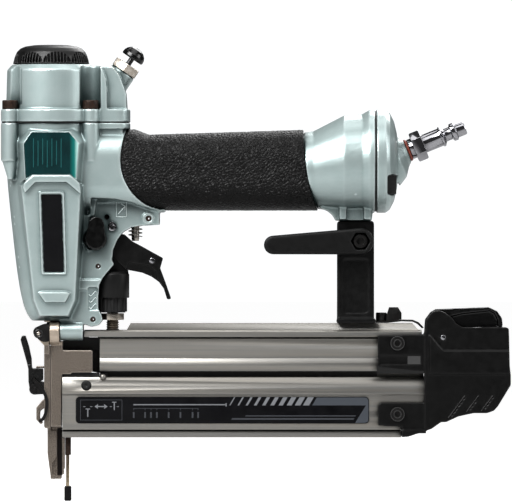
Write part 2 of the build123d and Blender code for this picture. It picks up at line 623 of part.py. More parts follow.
# ---- contact arm --------------------------------------------------------------------
def contact_arm():
    """Push lever: rod at the nose, link plate, and the adjuster's threaded stud."""
    plate = side((6.0, 60.5), (27.5, 57.2), (27.5, 77.2), (34.4, 77.2), (35.2, 78.0),
                 (35.2, 80.6), (23.4, 80.6), (23.4, 77.1), (18.6, 77.1), (18.6, 80.6),
                 (14.0, 80.6), (10.0, 75.5), (6.0, 73.0))
    shape = slab(plate, *ROD_Y)
    shape += block(6.0, 7.9, *ROD_Y, -8.4, 64.0)
    shape += block(28.6, 34.4, -2.8, 2.8, 77.2, 80.6)
    shape += rod_z(ADJUST_X, 0, 80, 111.8, 3.0)
    for i in range(4):
        z = 81.0 + 1.25 * i
        shape += turned_z(ADJUST_X, (2.5, z), (3.0, z), (3.5, z + 0.45), (3.5, z + 0.6),
                          (3.0, z + 1.05), (2.5, z + 1.05))
    return shape + block(6.0, 7.9, -1.6, ROD_Y[1], -8.4, -1.8)


def no_mar_tip():
    body = Pos(7.1, -7.95) * RectangleRounded(3.8, 8.1, 0.7)
    return slab(body, -3.2, 3.8) - block(5.95, 7.95, -1.65, ROD_Y[1] + 0.05, -8.45, 0)


def depth_adjuster():
    """Threaded thumb wheel that sets the nailing depth."""
    shape = rod_z(ADJUST_X, 0, 90.6, 99.2, 7.0)
    for i in range(12):
        shape += Pos(ADJUST_X, 0, 0) * Rot(0, 0, 30 * i) * Pos(7.0, 0, 94.9) * Cylinder(0.9, 7.6)
    return shape - rod_z(ADJUST_X, 0, 90, 111.2, 3.0 + RUN)


def adjuster_guard():
    """Fixed tube over the thumb wheel; the wheel rises into it with the contact arm."""
    return turned_z(ADJUST_X, (8.15, 98.6), (9.1, 98.6), (9.1, 111.4), (8.0, 112.9),
                    (3.0 + SEAT, 112.9), (3.0 + SEAT, 111.4), (8.15, 111.4))


def adjuster_nut():
    body = extrude(Plane.XY.offset(86.6) * RegularPolygon(5.4, 6, major_radius=False), amount=3.6)
    return Pos(ADJUST_X, 0, 0) * body - rod_z(ADJUST_X, 0, 80, 100, 3.0 + RUN)


def contact_spring():
    """Return spring of the contact arm, inside the guard tube."""
    return Pos(ADJUST_X, 0, 0) * coil(5.4, 0.9, 99.3, 111.3, 4)


# ---- nose ---------------------------------------------------------------------------
def nose_body():
    """Driver guide: bolted flange, guide bar with its groove, T arm and lower blade."""
    bar = side((-2.0, 75.0), (4.4, 75.0), (4.4, 70.1), (20.1, 70.1), (20.7, 69.5),
               (20.7, 58.6), (20.1, 58.0), (9.6, 58.0), (8.8, 57.2), (4.0, 57.2), (3.7, 28.6),
               (-2.0, 28.6))
    shape = slab(bar, -NOSE_Y, NOSE_Y)
    shape += run_x(Pos(0, 79.3) * RectangleRounded(27.4, 12.6, 5.6), -2.6, 2.7)
    shape += rod_z(0, 0, 85.4, SPIGOT_TOP_Z, 5.9)
    shape += slab(side((-2.0, 28.7), (3.7, 28.7), (4.1, 27.0), (4.1, 3.5), (3.7, 0), (-2.0, 0)),
                  -3.0, 3.0)
    shape += block(3.9, 5.5, -4.6, 4.6, 5.6, 22.5) + block(3.9, 5.0, -4.6, 4.6, 2.4, 5.7)
    shape -= block(-2.1, 0.75, -NAIL_Y, NAIL_Y, -1, 101)
    shape -= block(-3, 30, -CHANNEL_Y, CHANNEL_Y, BRAD_Z[0], BRAD_Z[1] + 0.3)
    shape -= block(5.2, 30, -CHANNEL_Y, 2.9, 56, 90)
    for y in (-NOSE_BOLT_Y, NOSE_BOLT_Y):
        shape -= rod_x(y, NOSE_BOLT_Z, -10, 10, NOSE_BOLT_R + RUN)
    hooks = side((1.0, 44.0), (-1.9, 44.0), (-6.4, 43.2), (-9.9, 39.0), (-9.9, 32.4), (-7.4, 29.6),
                 (-6.6, 30.6), (-8.2, 33.2), (-8.0, 36.8), (-5.6, 38.6), (-1.9, 38.2), (1.0, 38.2))
    return shape + both_sides(hooks, 5.0, 7.0)


def nose_bolts():
    bolt = socket_screw(2.3, 2.4, NOSE_BOLT_R, 14.5, 2.5)
    place = Rot(0, -90, 0)
    return group(Pos(-4.25, y, NOSE_BOLT_Z) * place * bolt for y in (-NOSE_BOLT_Y, NOSE_BOLT_Y))


def hinge_bracket():
    """Clamped under the nose bolts; its cheeks carry the nose door's pin."""
    shape = run_x(Pos(0, 79.3) * RectangleRounded(27.4, 12.0, 5.4), -4.2, -2.7)
    cheek = link(HINGE, 3.0, (-5.0, 79.6), 4.9) & side((-12, 73), (-2.7, 73), (-2.7, 86), (-12, 86))
    shape += both_sides(cheek, 12.35, 13.7)
    for y in (-11.35, 11.35):
        shape -= block(-5, -2, y - 1.0, y + 1.0, 70, 83.4)
    shape -= rod_y(HINGE[0], HINGE[1], -20, 20, 1.5 + RUN)
    for y in (-NOSE_BOLT_Y, NOSE_BOLT_Y):
        shape -= rod_x(y, NOSE_BOLT_Z, -10, 0, NOSE_BOLT_R + RUN)
    return shape


def nose_door():
    """Front of the driver guide: swings up to clear a jam."""
    plate = side((-5.6, 71.6), (-5.0, 72.4), (-2.1, 72.4), (-2.1, 27.8), (-5.0, 27.8), (-5.6, 28.6))
    shape = slab(plate, -NOSE_Y, NOSE_Y)
    shape -= both_sides(side((-10, 45.4), (0, 45.4), (0, 27.0), (-10, 27.0)), 4.3, 7.7)
    shape += block(-2.4, -0.9, -NAIL_Y + 0.12, NAIL_Y - 0.12, 0, 72.4)
    shape += slab(side((-3.9, 29), (-2.1, 29), (-2.1, 0), (-2.4, 2.7), (-3.4, 10.0), (-3.9, 14.0)),
                  -5.0, 5.0)
    cheek = side((-3.9, 26.4), (1.2, 26.4), (1.2, 12.2), (-1.3, 9.0), (-1.3, 2.6), (1.2, 1.6),
                 (0.4, 0), (-2.1, 0), (-2.4, 2.7), (-3.4, 10.0), (-3.9, 14.0))
    shape += both_sides(cheek, 3.15, 5.0)
    ear = link(HINGE, 2.9, (-4.4, 74.0), 1.7) & side((-12, 90), (-12, 60), (-2.9, 60), (-2.9, 90))
    shape += both_sides(ear, 10.5, 12.2)
    shape += both_sides(side((-5.5, 72.4), (-2.9, 72.4), (-2.9, 68), (-5.5, 68)), 8.6, 12.2)
    shape -= rod_y(HINGE[0], HINGE[1], -20, 20, 1.5 + RUN)
    return shape + block(-10.2, -5.4, -3.5, 3.5, 60.3, 61.4)


def latch_base():
    """Lugs on the nose door, with the pin that carries the latch lever."""
    lug = link(LATCH, 2.9, (-7.6, 49.6), 3.4) & side((-16, 40), (-5.7, 40), (-5.7, 60), (-16, 60))
    shape = both_sides(lug, 7.3, 8.8) + block(-7.0, -5.7, -8.8, 8.8, 46.2, 52.8)
    shape -= rod_y(LATCH[0], LATCH[1], -20, 20, 1.2 + RUN)
    return group([shape, rod_y(LATCH[0], LATCH[1], -9.4, 9.4, 1.2)])


def latch_lever():
    """Thumb lever of the toggle latch."""
    outline = side((-18.6, 75.8), (-17.8, 78.0), (-16.0, 78.0), (-14.2, 72.4), (-12.7, 65.5),
                   (-12.5, 60.2), (-6.4, 60.0), (-6.4, 53.7), (-7.7, 53.2), (-8.2, 47.8),
                   (-10.8, 46.0), (-13.4, 48.0), (-14.2, 53.0), (-14.3, 60.0), (-15.2, 63.6))
    outline = fillet(outline.vertices(), 0.6)
    shape = slab(outline, -7.1, 7.1) - block(-11.5, -5, -3.8, 3.8, 57.5, 62)
    shape -= block(-20, -12.0, -9, -5.4, 62, 80) + block(-20, -12.0, 5.4, 9, 62, 80)
    shape -= rod_y(LATCH[0], LATCH[1], -20, 20, 1.2 + RUN)
    return shape - rod_y(BAIL[0], BAIL[1], -20, 20, 0.8 + RUN)


def latch_bail():
    """Wire loop of the latch; its lower stubs stop short of the nose body's hooks."""
    path = Spline((-11.2, 54.0), (-7.2, 49.6), (-4.4, 44.2), (-4.4, 37.5), (-6.0, 33.2), (-8.4, 31.4))
    leg = trace(path, 1.7)
    shape = both_sides(leg, 9.75, 11.25)
    return shape + rod_y(BAIL[0], BAIL[1], -10.4, 10.4, 0.8)


def arm_guide():
    """Steel guide that steadies the contact arm's rod below the magazine."""
    shape = block(5.75, 8.7, -3.6, 5.6, 13.1, 22.5)
    return shape - block(5.9, 8.0, ROD_Y[0] - SEAT, ROD_Y[1] + SEAT, 10, 30)


# ---- magazine -----------------------------------------------------------------------
def along(profile, x0, x1):
    """A profile of (y, z) points run from x0 to x1."""
    return run_x(Polygon(*profile, align=None), x0, x1)


def magazine_rail():
    """Fixed aluminium rail: top and bottom flanges and the far wall."""
    x0, x1 = RAIL_X
    y = RAIL_Y
    flange = along(((-y, 77.4), (y, 77.4), (y, 80.4), (4.8, 81.2), (-4.8, 81.2), (-y, 80.4)), x0, x1)
    rib = slab(side((39.2, 81.1), (41.4, 84.9), (194.6, 84.9), (199.8, 79.6), (60, 79.6)), -4.4, 4.4)
    wall = along(((CHANNEL_Y, 22.7), (7.6, 22.7), (8.6, 24.5), (8.6, 26.9), (9.8, 28), (9.8, 46),
                  (8.0, 49), (8.0, 56), (9.0, 58), (10.2, 62), (9.0, 65), (9.0, 77.5),
                  (CHANNEL_Y, 77.5)), 24.9, 197.3)
    lower = along(((CHANNEL_Y, 22.7), (7.6, 22.7), (8.6, 24.5), (8.6, 26.9), (9.8, 28), (9.8, 46),
                   (8.0, 49), (8.0, 56.0), (CHANNEL_Y, 56.0)), 4.2, 25)
    foot = along(((-7.6, 22.7), (1.0, 22.7), (1.0, 26.6), (-1.2, 26.6), (-1.2, 26.0), (-8.6, 26.0),
                  (-8.6, 24.5)), 4.2, 188.6)
    wall -= block(188.6, 200, -1, 12, 20, 26.95)
    shape = flange + rib + wall + lower + foot
    shape -= block(5.8, 8.1, 0, ROD_Y[1] + 0.2, 20, 60)
    shape -= block(0, 28.2, 0, ROD_Y[1] + 0.2, 54, 90)
    shape -= block(0, 200, -CHANNEL_Y, CHANNEL_Y, 26.6, 30.0)
    return shape - block(8, 38, -3.4, 3.4, 77, 90)


def magazine_cover():
    """Sliding half of the magazine: flat panel, bevel, groove and upper face."""
    y = -CHANNEL_Y - 0.15
    low = ((y, 27.0), (-10.2, 27.0), (-10.6, 27.8), (-10.6, 45.6), (-11.4, 46.4), (-11.5, 47.6),
           (-10.9, 51.0), (-9.6, 54.4), (-8.8, 55.5), (-4.0, 55.5), (-4.0, 56.0), (y, 56.0))
    high = ((y, 55.5), (-4.0, 55.5), (-4.0, 58.8), (-9.2, 58.8), (-10.5, 61.0), (-10.6, 62.4),
            (-9.8, 65.0), (-9.2, 65.8), (-9.2, 76.4), (-8.8, 76.9), (y, 76.9))
    shape = along(low, COVER_X[0] + 0.5, COVER_X[1])
    shape += along(high, 24.7, COVER_X[1] - 0.2)
    shape -= rod_y(17.4, 51.0, -20, -8, 2.8)
    for x, z in COVER_SCREWS:
        shape -= rod_y(x, z, -20, -6, 2.0 + RUN)
    return shape + Pos(26.4, -9.6, 55.6) * Sphere(1.6)


def label_outline():
    return Pos((11.7 + 171.0) / 2, 37.6) * RectangleRounded(171.0 - 11.7, 14.4, 2.0)


def magazine_label():
    return slab(label_outline(), -11.0, -10.62)


def rear_cover():
    """Moulded cover on the end of the sliding half, with cheeks for the release lever."""
    main = side(
        (201.4, 78.6), (201.9, 86.7), (204.9, 90.8), (207.0, 91.6), (210.2, 91.6), (212.9, 90.4),
        (216.0, 87.8), (218.6, 84.6), (221.2, 83.0), (223.8, 82.5), (246.2, 82.6), (247.0, 81.9),
        (247.2, 77.2), (247.5, 61.6), (248.1, 56.4), (248.1, 51.2), (241.1, 39.7), (238.9, 37.3),
        (235.3, 36.0), (228.0, 36.0), (219.6, 34.2), (212.9, 31.1), (210.2, 31.1), (205.0, 27.4),
        (192.5, 23.2), (188.9, 22.9), (188.9, 26.8), (201.4, 26.8))
    shape = slab(main, -13, 13)
    tabs = side((175.7, 78.2), (202, 78.8), (202, 58.2), (196, 58.6), (176.8, 60.8), (175.7, 62))
    foot = side((177.4, 41.8), (202, 41.8), (202, 25), (188.9, 25), (188.9, 28.4), (176.0, 29.2),
                (176.0, 40.4))
    shape += both_sides(tabs, 11.1, COVER_SIDE_Y) + both_sides(foot, 11.7, COVER_SIDE_Y)
    shape -= both_sides(side((176.2, 62.2), (199.4, 62.2), (199.4, 67.4), (176.2, 67.4)), 12.2, 20)
    step = side((203.9, 78.4), (211.2, 69.8), (250, 69.8), (250, 57.4), (214, 57.4), (203.9, 57.4))
    shape += both_sides(step & main, 12, 14.0)
    for x, z in ((214.1, 33.2), (224.0, 36.6), (231.9, 36.9)):
        run = (45.9 - z) * 0.72
        groove = side((x, z), (x + run, 45.9), (x + run + 1.2, 45.9), (x + 1.2, z))
        shape -= both_sides(groove, 12.1, 20)
    shape -= slab(side((200, 95), (250, 95), (246, 79.0), (242, 73.5), (199, 73.5)), -9.2, 9.2)
    shape -= rod_y(RELEASE[0], RELEASE[1], -20, 20, 1.4 + RUN)
    for x, z in COVER_SCREWS:
        shape -= rod_y(x, z, -20, 20, 2.0 + RUN)
    return shape


def cover_screws():
    """Flanged socket screws that hold the rear cover's tabs."""
    screw = socket_screw(3.9, 1.9, 2.0, 4.4, 3)
    near = [Pos(x, -COVER_SIDE_Y, z) * Rot(90, 0, 0) * screw for x, z in COVER_SCREWS]
    return group(near)


def release_lever():
    """Loop-shaped lever that frees the magazine."""
    outer = side((202.6, 80.0), (203.4, 87.4), (205.2, 91.0), (207.6, 92.4), (236.4, 93.5),
                 (240.8, 91.4), (243.4, 87.6), (243.8, 84.0), (243.0, 80.4), (214.8, 79.0),
                 (213.8, 75.0), (208.4, 74.6))
    window = side((216.4, 84.0), (214.2, 88.4), (222.0, 90.2), (237.0, 91.8), (239.6, 90.2),
                  (241.2, 86.8), (241.2, 83.0), (220.6, 82.0))
    shape = slab(fillet(outer.vertices(), 0.6), -8.8, 8.8)
    shape -= both_sides(fillet(window.vertices(), 0.6), 1.4, 20)
    shape -= slab(side((214.0, 95), (214.0, 78), (245, 78), (245, 82.5), (222, 95)), -6.6, 6.6) & slab(
        side((214, 80), (245, 80), (245, 82.6), (214, 82.6)), -6.6, 6.6)
    return shape - rod_y(RELEASE[0], RELEASE[1], -20, 20, 1.4 + RUN)


def release_pin():
    return rod_y(RELEASE[0], RELEASE[1], -13.1, 13.1, 1.4)


def catch_spring():
    """Leaf spring that holds the release lever's hook against the rail."""
    strip = side((174.9, 85.0), (174.9, 86.0), (181.4, 86.0), (189, 86.8), (195, 86.7),
                 (198.2, 85.4), (201.0, 82.5), (200.1, 81.9), (197.4, 84.4), (194.8, 85.6),
                 (189, 85.8), (181.6, 85.0))
    tab = side((180.6, 85.9), (180.6, 88.6), (182.2, 93.5), (187.0, 93.5), (188.9, 90.4), (188.9, 86.9))
    shape = slab(strip, -3.4, 3.4) + slab(tab, -3.4, -2.0) + slab(tab, 2.0, 3.4)
    return shape - rod_z(177.9, 0, 80, 90, 1.5 + RUN)


def nail_pusher():
    """Follower that feeds the strip of brads forward."""
    outline = side((112, 28.2), (126, 28.2), (126, 52), (118, 60), (116.5, 76.4), (112, 76.4))
    return slab(outline, -0.6, 0.6)


def feed_spring():
    """Rolled ribbon spring carried behind the follower."""
    return rod_y(133, 40, -0.6, 0.6, 5.6) - rod_y(133, 40, -2, 2, 3.2)


# ---- belt hook ----------------------------------------------------------------------
def belt_hook():
    """Swinging hook moulded in rubber over steel."""
    arm = link((119.0, 127.4), 5.1, HOOK_PIVOT, 7.2)
    shape = slab(arm, -15.4, -7.2)
    shape = fillet(shape.faces().sort_by(Axis.Y)[0].edges(), 1.6)
    shape -= slab(Pos(*HOOK_PIVOT) * RegularPolygon(4.6, 6, major_radius=False), -20, -11.0)
    return shape - rod_y(HOOK_PIVOT[0], HOOK_PIVOT[1], -20, 0, 2.5 + RUN)


def hook_bolt():
    screw = socket_screw(4.0, 3.0, 2.5, 7.4, 4)
    return Pos(HOOK_PIVOT[0], -11.0, HOOK_PIVOT[1]) * Rot(90, 0, 0) * screw


# ---- labels -------------------------------------------------------------------------
def window_labels():
    return group([slab(offset(side(*WINDOW), -0.1), 25.45, 25.75),
                  slab(offset(side(*WINDOW), -0.1), -25.75, -25.45)])


def name_strips():
    strips = both_sides(offset(side(*STRIP), -0.1), 8, 30) & (wedge(0.35) - wedge(0.02))
    return group(strips.solids())


NODES = (
    housing, cylinder_cap, cap_gasket, cap_bolts, exhaust_deflector, deflector_screw,
    duster_bushing, duster_button, head_valve, head_valve_spring, cylinder_sleeve, piston,
    piston_ring, driver_blade, bumper, handle_grip, end_cap, end_cap_seal, end_cap_insert,
    air_plug, rear_bracket, bracket_screws, selector_shaft, shaft_clip, trigger, trigger_pin,
    trigger_arm, trigger_valve, valve_plunger, plunger_spring, cross_pins, dial_screw,
    contact_arm, no_mar_tip, depth_adjuster, adjuster_guard, adjuster_nut, contact_spring, nose_body,
    nose_bolts, hinge_bracket, nose_door, latch_base, latch_lever, latch_bail,
    arm_guide, magazine_rail, magazine_cover, magazine_label, rear_cover, cover_screws,
    release_lever, release_pin, catch_spring, nail_pusher, feed_spring, belt_hook, hook_bolt,
    window_labels, name_strips,
)

for make in NODES:
    export_step(make(), f"parts/{make.__name__}.step")
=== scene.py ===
import json
import math

import bmesh
import bpy
from mathutils import Matrix, Vector


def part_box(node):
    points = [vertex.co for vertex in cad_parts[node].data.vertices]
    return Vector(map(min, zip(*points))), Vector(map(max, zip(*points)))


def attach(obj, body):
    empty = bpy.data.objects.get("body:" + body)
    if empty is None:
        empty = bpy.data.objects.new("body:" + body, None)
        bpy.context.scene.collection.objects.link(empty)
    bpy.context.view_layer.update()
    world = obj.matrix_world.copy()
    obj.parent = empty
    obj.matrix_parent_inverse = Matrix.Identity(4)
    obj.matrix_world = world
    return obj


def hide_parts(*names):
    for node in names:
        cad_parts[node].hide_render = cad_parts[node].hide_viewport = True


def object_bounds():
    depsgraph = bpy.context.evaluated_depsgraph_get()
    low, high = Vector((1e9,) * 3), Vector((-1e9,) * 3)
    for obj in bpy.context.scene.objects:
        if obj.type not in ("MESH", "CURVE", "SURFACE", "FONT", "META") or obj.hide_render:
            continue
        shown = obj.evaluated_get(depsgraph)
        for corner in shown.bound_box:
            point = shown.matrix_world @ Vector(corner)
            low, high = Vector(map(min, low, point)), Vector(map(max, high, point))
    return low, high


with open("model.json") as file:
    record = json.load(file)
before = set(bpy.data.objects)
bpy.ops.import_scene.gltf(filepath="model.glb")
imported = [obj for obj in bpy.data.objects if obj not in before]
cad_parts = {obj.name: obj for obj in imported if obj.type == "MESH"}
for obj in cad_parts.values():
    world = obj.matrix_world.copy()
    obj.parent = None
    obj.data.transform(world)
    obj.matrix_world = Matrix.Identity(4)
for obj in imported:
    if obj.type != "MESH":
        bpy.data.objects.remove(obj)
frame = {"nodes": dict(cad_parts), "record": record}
CAD_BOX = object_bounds()
MM = 0.001
NODE_BODY = {n: b for b, members in frame["record"]["behaviour"]["bodies"].items() for n in members}


# ---- colours and materials ----------------------------------------------------------
def srgb(red, green, blue):
    """A 0 to 255 display colour as a linear one."""
    parts = [c / 255 for c in (red, green, blue)]
    return tuple(c / 12.92 if c <= 0.04045 else ((c + 0.055) / 1.055) ** 2.4 for c in parts) + (1.0,)


class Finish:
    """One procedural material, built up from a Principled shader."""

    def __init__(self, name, colour, metallic, roughness):
        self.material = bpy.data.materials.new(name)
        self.material.use_nodes = True
        self.tree = self.material.node_tree
        self.shader = self.tree.nodes["Principled BSDF"]
        self.set("Base Color", colour)
        self.set("Metallic", metallic)
        self.set("Roughness", roughness)
        self.place = self.add("ShaderNodeTexCoord").outputs["Object"]
        self.normal = None

    def add(self, kind, **settings):
        node = self.tree.nodes.new(kind)
        for key, value in settings.items():
            setattr(node, key, value)
        return node

    def feed(self, target, value):
        """Links a socket, or sets a plain value."""
        if isinstance(value, bpy.types.NodeSocket):
            self.tree.links.new(value, target)
        else:
            target.default_value = value

    def set(self, name, value):
        self.feed(self.shader.inputs[name], value)

    def noise(self, size_mm, detail=3.0, stretch=(1, 1, 1)):
        """Noise with features of one size, drawn out along an axis by stretch."""
        mapping = self.add("ShaderNodeMapping")
        mapping.inputs["Scale"].default_value = [1 / (size_mm * MM * s) for s in stretch]
        self.feed(mapping.inputs["Vector"], self.place)
        texture = self.add("ShaderNodeTexNoise")
        self.feed(texture.inputs["Vector"], mapping.outputs["Vector"])
        self.feed(texture.inputs["Scale"], 1.0)
        self.feed(texture.inputs["Detail"], detail)
        return texture.outputs["Fac"]

    def cells(self, size_mm):
        """Creases between rounded cells."""
        texture = self.add("ShaderNodeTexVoronoi", feature="DISTANCE_TO_EDGE")
        self.feed(texture.inputs["Vector"], self.place)
        self.feed(texture.inputs["Scale"], 1 / (size_mm * MM))
        return texture.outputs["Distance"]

    def spread(self, value, low, high, start=0.3, stop=0.7):
        node = self.add("ShaderNodeMapRange")
        self.feed(node.inputs["Value"], value)
        self.feed(node.inputs["From Min"], start)
        self.feed(node.inputs["From Max"], stop)
        self.feed(node.inputs["To Min"], low)
        self.feed(node.inputs["To Max"], high)
        return node.outputs["Result"]

    def blend(self, share, first, second):
        node = self.add("ShaderNodeMix", data_type="RGBA")
        self.feed(node.inputs[0], share)
        self.feed(node.inputs[6], first)
        self.feed(node.inputs[7], second)
        return node.outputs[2]

    def edges(self, low=0.49, high=0.56):
        """0 on flats and 1 on convex edges."""
        bare = self.add("ShaderNodeNewGeometry").outputs["Pointiness"]
        return self.spread(bare, 0.0, 1.0, low, high)

    def crease_shade(self, reach_mm, low, start=0.35):
        """Painted shade: low deep in creases and 1 on open faces."""
        node = self.add("ShaderNodeAmbientOcclusion")
        node.samples = 8
        node.inputs["Distance"].default_value = reach_mm * MM
        return self.spread(node.outputs["AO"], low, 1.0, start, 0.96)

    def product(self, first, *others):
        for other in others:
            node = self.add("ShaderNodeMath", operation="MULTIPLY")
            self.feed(node.inputs[0], first)
            self.feed(node.inputs[1], other)
            first = node.outputs[0]
        return first

    def axis(self, name):
        """A coordinate of the object frame, in metres."""
        node = self.add("ShaderNodeSeparateXYZ")
        self.feed(node.inputs[0], self.place)
        return node.outputs[name]

    def relief(self, height, depth_mm):
        """Adds a bump of that depth to the shader's normal."""
        node = self.add("ShaderNodeBump")
        self.feed(node.inputs["Height"], height)
        self.feed(node.inputs["Distance"], depth_mm * MM)
        if self.normal is not None:
            self.feed(node.inputs["Normal"], self.normal)
        self.normal = node.outputs["Normal"]
        self.set("Normal", self.normal)


def cast_paint():
    """Silver-green metallic paint over a die casting, with painted shade in creases and recesses and
    paler edges, partly rubbed paint and partly painted highlight.
    """
    f = Finish("cast_paint", srgb(158, 175, 174), 0.58, 0.36)
    tint = f.blend(f.spread(f.noise(9), 0, 1), srgb(152, 170, 169), srgb(163, 179, 178))
    # Paler convex edges: rubbed paint and painted highlight.
    rubbed_and_highlit = f.blend(f.edges(), tint, srgb(210, 223, 222))
    # Painted shade in wide recesses.
    shaded = f.blend(f.crease_shade(28, 0.0, 0.45), srgb(58, 72, 72), rubbed_and_highlit)
    # Painted shade in tight creases.
    f.set("Base Color", f.blend(f.crease_shade(6, 0.0), srgb(60, 74, 74), shaded))
    f.set("Roughness", f.spread(f.noise(0.3), 0.30, 0.42))
    f.set("Coat Weight", 0.25)
    f.set("Coat Roughness", 0.2)
    f.relief(f.noise(1.4), 0.03)
    f.relief(f.noise(0.25), 0.008)
    return f.material


def highlit_paint():
    """A paler copy of the same paint for raised marks: painted highlight along them, with some rubbed
    paint.
    """
    f = Finish("highlit_paint", srgb(196, 210, 209), 0.5, 0.34)
    f.set("Base Color", f.blend(f.spread(f.noise(2), 0, 1), srgb(182, 198, 197), srgb(212, 224, 223)))
    f.relief(f.noise(0.25), 0.008)
    return f.material


def grip_rubber():
    """Wrinkled soft rubber, painted a shade darker in its creases."""
    f = Finish("grip_rubber", srgb(16, 15, 16), 0.0, 0.5)
    crease = f.spread(f.cells(1.7), 0, 1, 0.0, 0.3)
    # Painted shade: the creases are darker.
    f.set("Base Color", f.blend(crease, srgb(0, 0, 0), srgb(7, 6, 6)))
    f.set("Specular IOR Level", 0.2)
    f.set("Roughness", f.spread(f.noise(0.8), 0.34, 0.5))
    f.relief(crease, 0.34)
    f.relief(f.noise(0.6, 5), 0.2)
    return f.material


def moulded_black(name="moulded_black", shade=5, roughness=0.4, grain_mm=0.35, depth_mm=0.02,
                  gloss=0.2, edge_highlight=26):
    """Glass-filled nylon: fine spark-eroded grain, and a painted highlight that makes convex edges
    lighter.
    """
    f = Finish(name, srgb(shade, shade, shade), 0.0, roughness)
    tone = f.blend(f.spread(f.noise(5), 0, 1), srgb(shade - 3, shade - 3, shade - 3),
                   srgb(shade + 3, shade + 3, shade + 3))
    # Painted highlight on convex edges.
    f.set("Base Color", f.blend(f.edges(0.5, 0.6), tone, srgb(shade + edge_highlight, shade + edge_highlight, shade + edge_highlight)))
    f.set("Specular IOR Level", gloss)
    f.set("Roughness", f.spread(f.noise(2.5), roughness - 0.07, roughness + 0.07))
    f.relief(f.noise(grain_mm, 4), depth_mm)
    return f.material


def black_oxide(name, dark, light, metallic=0.5):
    """Blackened steel, paler where the finish is thin."""
    f = Finish(name, dark, metallic, 0.38)
    f.set("Base Color", f.blend(f.spread(f.noise(1.2), 0, 1), dark, light))
    f.set("Specular IOR Level", 0.35)
    f.set("Roughness", f.spread(f.noise(0.5), 0.28, 0.48))
    f.relief(f.noise(0.3), 0.012)
    return f.material


def arm_steel():
    """Contact arm: blackened above, rubbed bare where it runs beside the nose."""
    f = Finish("arm_steel", srgb(28, 25, 23), 0.7, 0.38)
    dark = f.blend(f.spread(f.noise(1.2), 0, 1), srgb(18, 16, 15), srgb(34, 29, 26))
    bare = f.blend(f.spread(f.noise(0.7), 0, 1), srgb(158, 142, 120), srgb(206, 190, 164))
    lower = f.blend(f.spread(f.axis("Z"), 0, 1, 0.026, 0.020), dark, bare)
    stud = f.blend(f.spread(f.axis("Z"), 0, 1, 0.0815, 0.0820), lower, srgb(84, 76, 66))
    f.set("Base Color", stud)
    f.set("Roughness", f.spread(f.noise(0.5), 0.3, 0.46))
    f.relief(f.noise(0.3), 0.012)
    return f.material


def chrome():
    """Bright plate with painted shade in its creases, and black on the knob's stop pin, the only chrome
    node's part ahead of it.
    """
    f = Finish("chrome", srgb(168, 168, 172), 1.0, 0.08)
    ahead = f.spread(f.axis("X"), 1, 0, 0.0299, 0.0300)
    # Painted shade in creases.
    plate_with_crease_shade = f.blend(f.crease_shade(3, 0.0), srgb(60, 60, 64), srgb(168, 168, 172))
    f.set("Base Color", f.blend(ahead, plate_with_crease_shade, srgb(8, 8, 8)))
    f.set("Roughness", f.spread(f.noise(2.0), 0.05, 0.12))
    f.relief(f.noise(0.6, 2, (1, 1, 8)), 0.002)
    return f.material


def nickel():
    """Satin nickel plate with fine turning marks."""
    f = Finish("satin_nickel", srgb(196, 188, 176), 1.0, 0.28)
    f.set("Base Color", f.blend(f.spread(f.noise(1.5), 0, 1), srgb(178, 168, 154), srgb(208, 200, 190)))
    f.set("Roughness", f.spread(f.noise(0.3), 0.2, 0.36))
    f.relief(f.noise(0.12, 2, (6, 1, 1)), 0.004)
    return f.material


def nose_steel():
    """Investment-cast steel: sandy grey, paler edges partly rubbed and partly painted highlight, ground
    bright on the flange, and painted shade beside the blade.
    """
    f = Finish("nose_steel", srgb(124, 116, 109), 0.85, 0.42)
    grain = f.spread(f.noise(0.45, 5), 0, 1, 0.35, 0.65)
    sandy = f.blend(grain, srgb(98, 90, 82), srgb(148, 137, 126))
    # Paler convex edges: rubbed steel and painted highlight.
    rubbed_and_highlit = f.blend(f.edges(0.51, 0.58), sandy, srgb(198, 188, 178))
    ground = f.spread(f.axis("Z"), 0, 1, 0.0725, 0.0735)
    cast = f.blend(ground, rubbed_and_highlit, srgb(196, 181, 164))
    # Painted shade beside the blade.
    shade_beside_blade = f.product(f.spread(f.axis("X"), 0, 1, 0.0012, 0.0015),
                       f.spread(f.axis("X"), 1, 0, 0.0040, 0.0043),
                       f.spread(f.axis("Z"), 1, 0, 0.0275, 0.0285),
                       f.spread(f.axis("Z"), 0, 1, 0.0018, 0.0022))
    f.set("Base Color", f.blend(shade_beside_blade, cast, srgb(26, 22, 21)))
    f.set("Roughness", f.spread(f.noise(0.6), 0.34, 0.5))
    f.relief(f.noise(0.4, 5), 0.05)
    return f.material


def brushed_aluminium():
    """Clear-anodised extrusion, brushed along its length, with painted shade in creases."""
    f = Finish("brushed_aluminium", srgb(182, 181, 177), 1.0, 0.3)
    lines = f.noise(0.09, 3, (700, 1, 1))
    broad = f.noise(2.0, 2, (120, 1, 1))
    tone = f.blend(f.spread(lines, 0, 1), srgb(134, 133, 130), srgb(156, 155, 152))
    bands = f.blend(f.spread(broad, 0, 0.6), tone, srgb(168, 162, 152))
    # Painted shade in creases.
    f.set("Base Color", f.blend(f.crease_shade(4, 0.0), srgb(58, 58, 56), bands))
    f.set("Roughness", f.spread(lines, 0.38, 0.5))
    f.relief(lines, 0.003)
    return f.material


def bright_steel():
    f = Finish("bright_steel", srgb(176, 172, 165), 1.0, 0.25)
    f.set("Base Color", f.blend(f.spread(f.noise(0.8), 0, 1), srgb(150, 144, 134), srgb(196, 192, 186)))
    f.set("Roughness", f.spread(f.noise(0.4), 0.18, 0.36))
    f.relief(f.noise(0.2, 2, (1, 1, 12)), 0.005)
    return f.material


def printed_film(name, colour, roughness=0.34):
    """Printed label with a faint orange peel."""
    f = Finish(name, colour, 0.0, roughness)
    f.set("Base Color", f.blend(f.spread(f.noise(12), 0, 0.05), colour, srgb(60, 62, 66)))
    f.set("Specular IOR Level", 0.12)
    f.set("Roughness", f.spread(f.noise(3), roughness - 0.06, roughness + 0.06))
    f.relief(f.noise(2.5), 0.01)
    return f.material


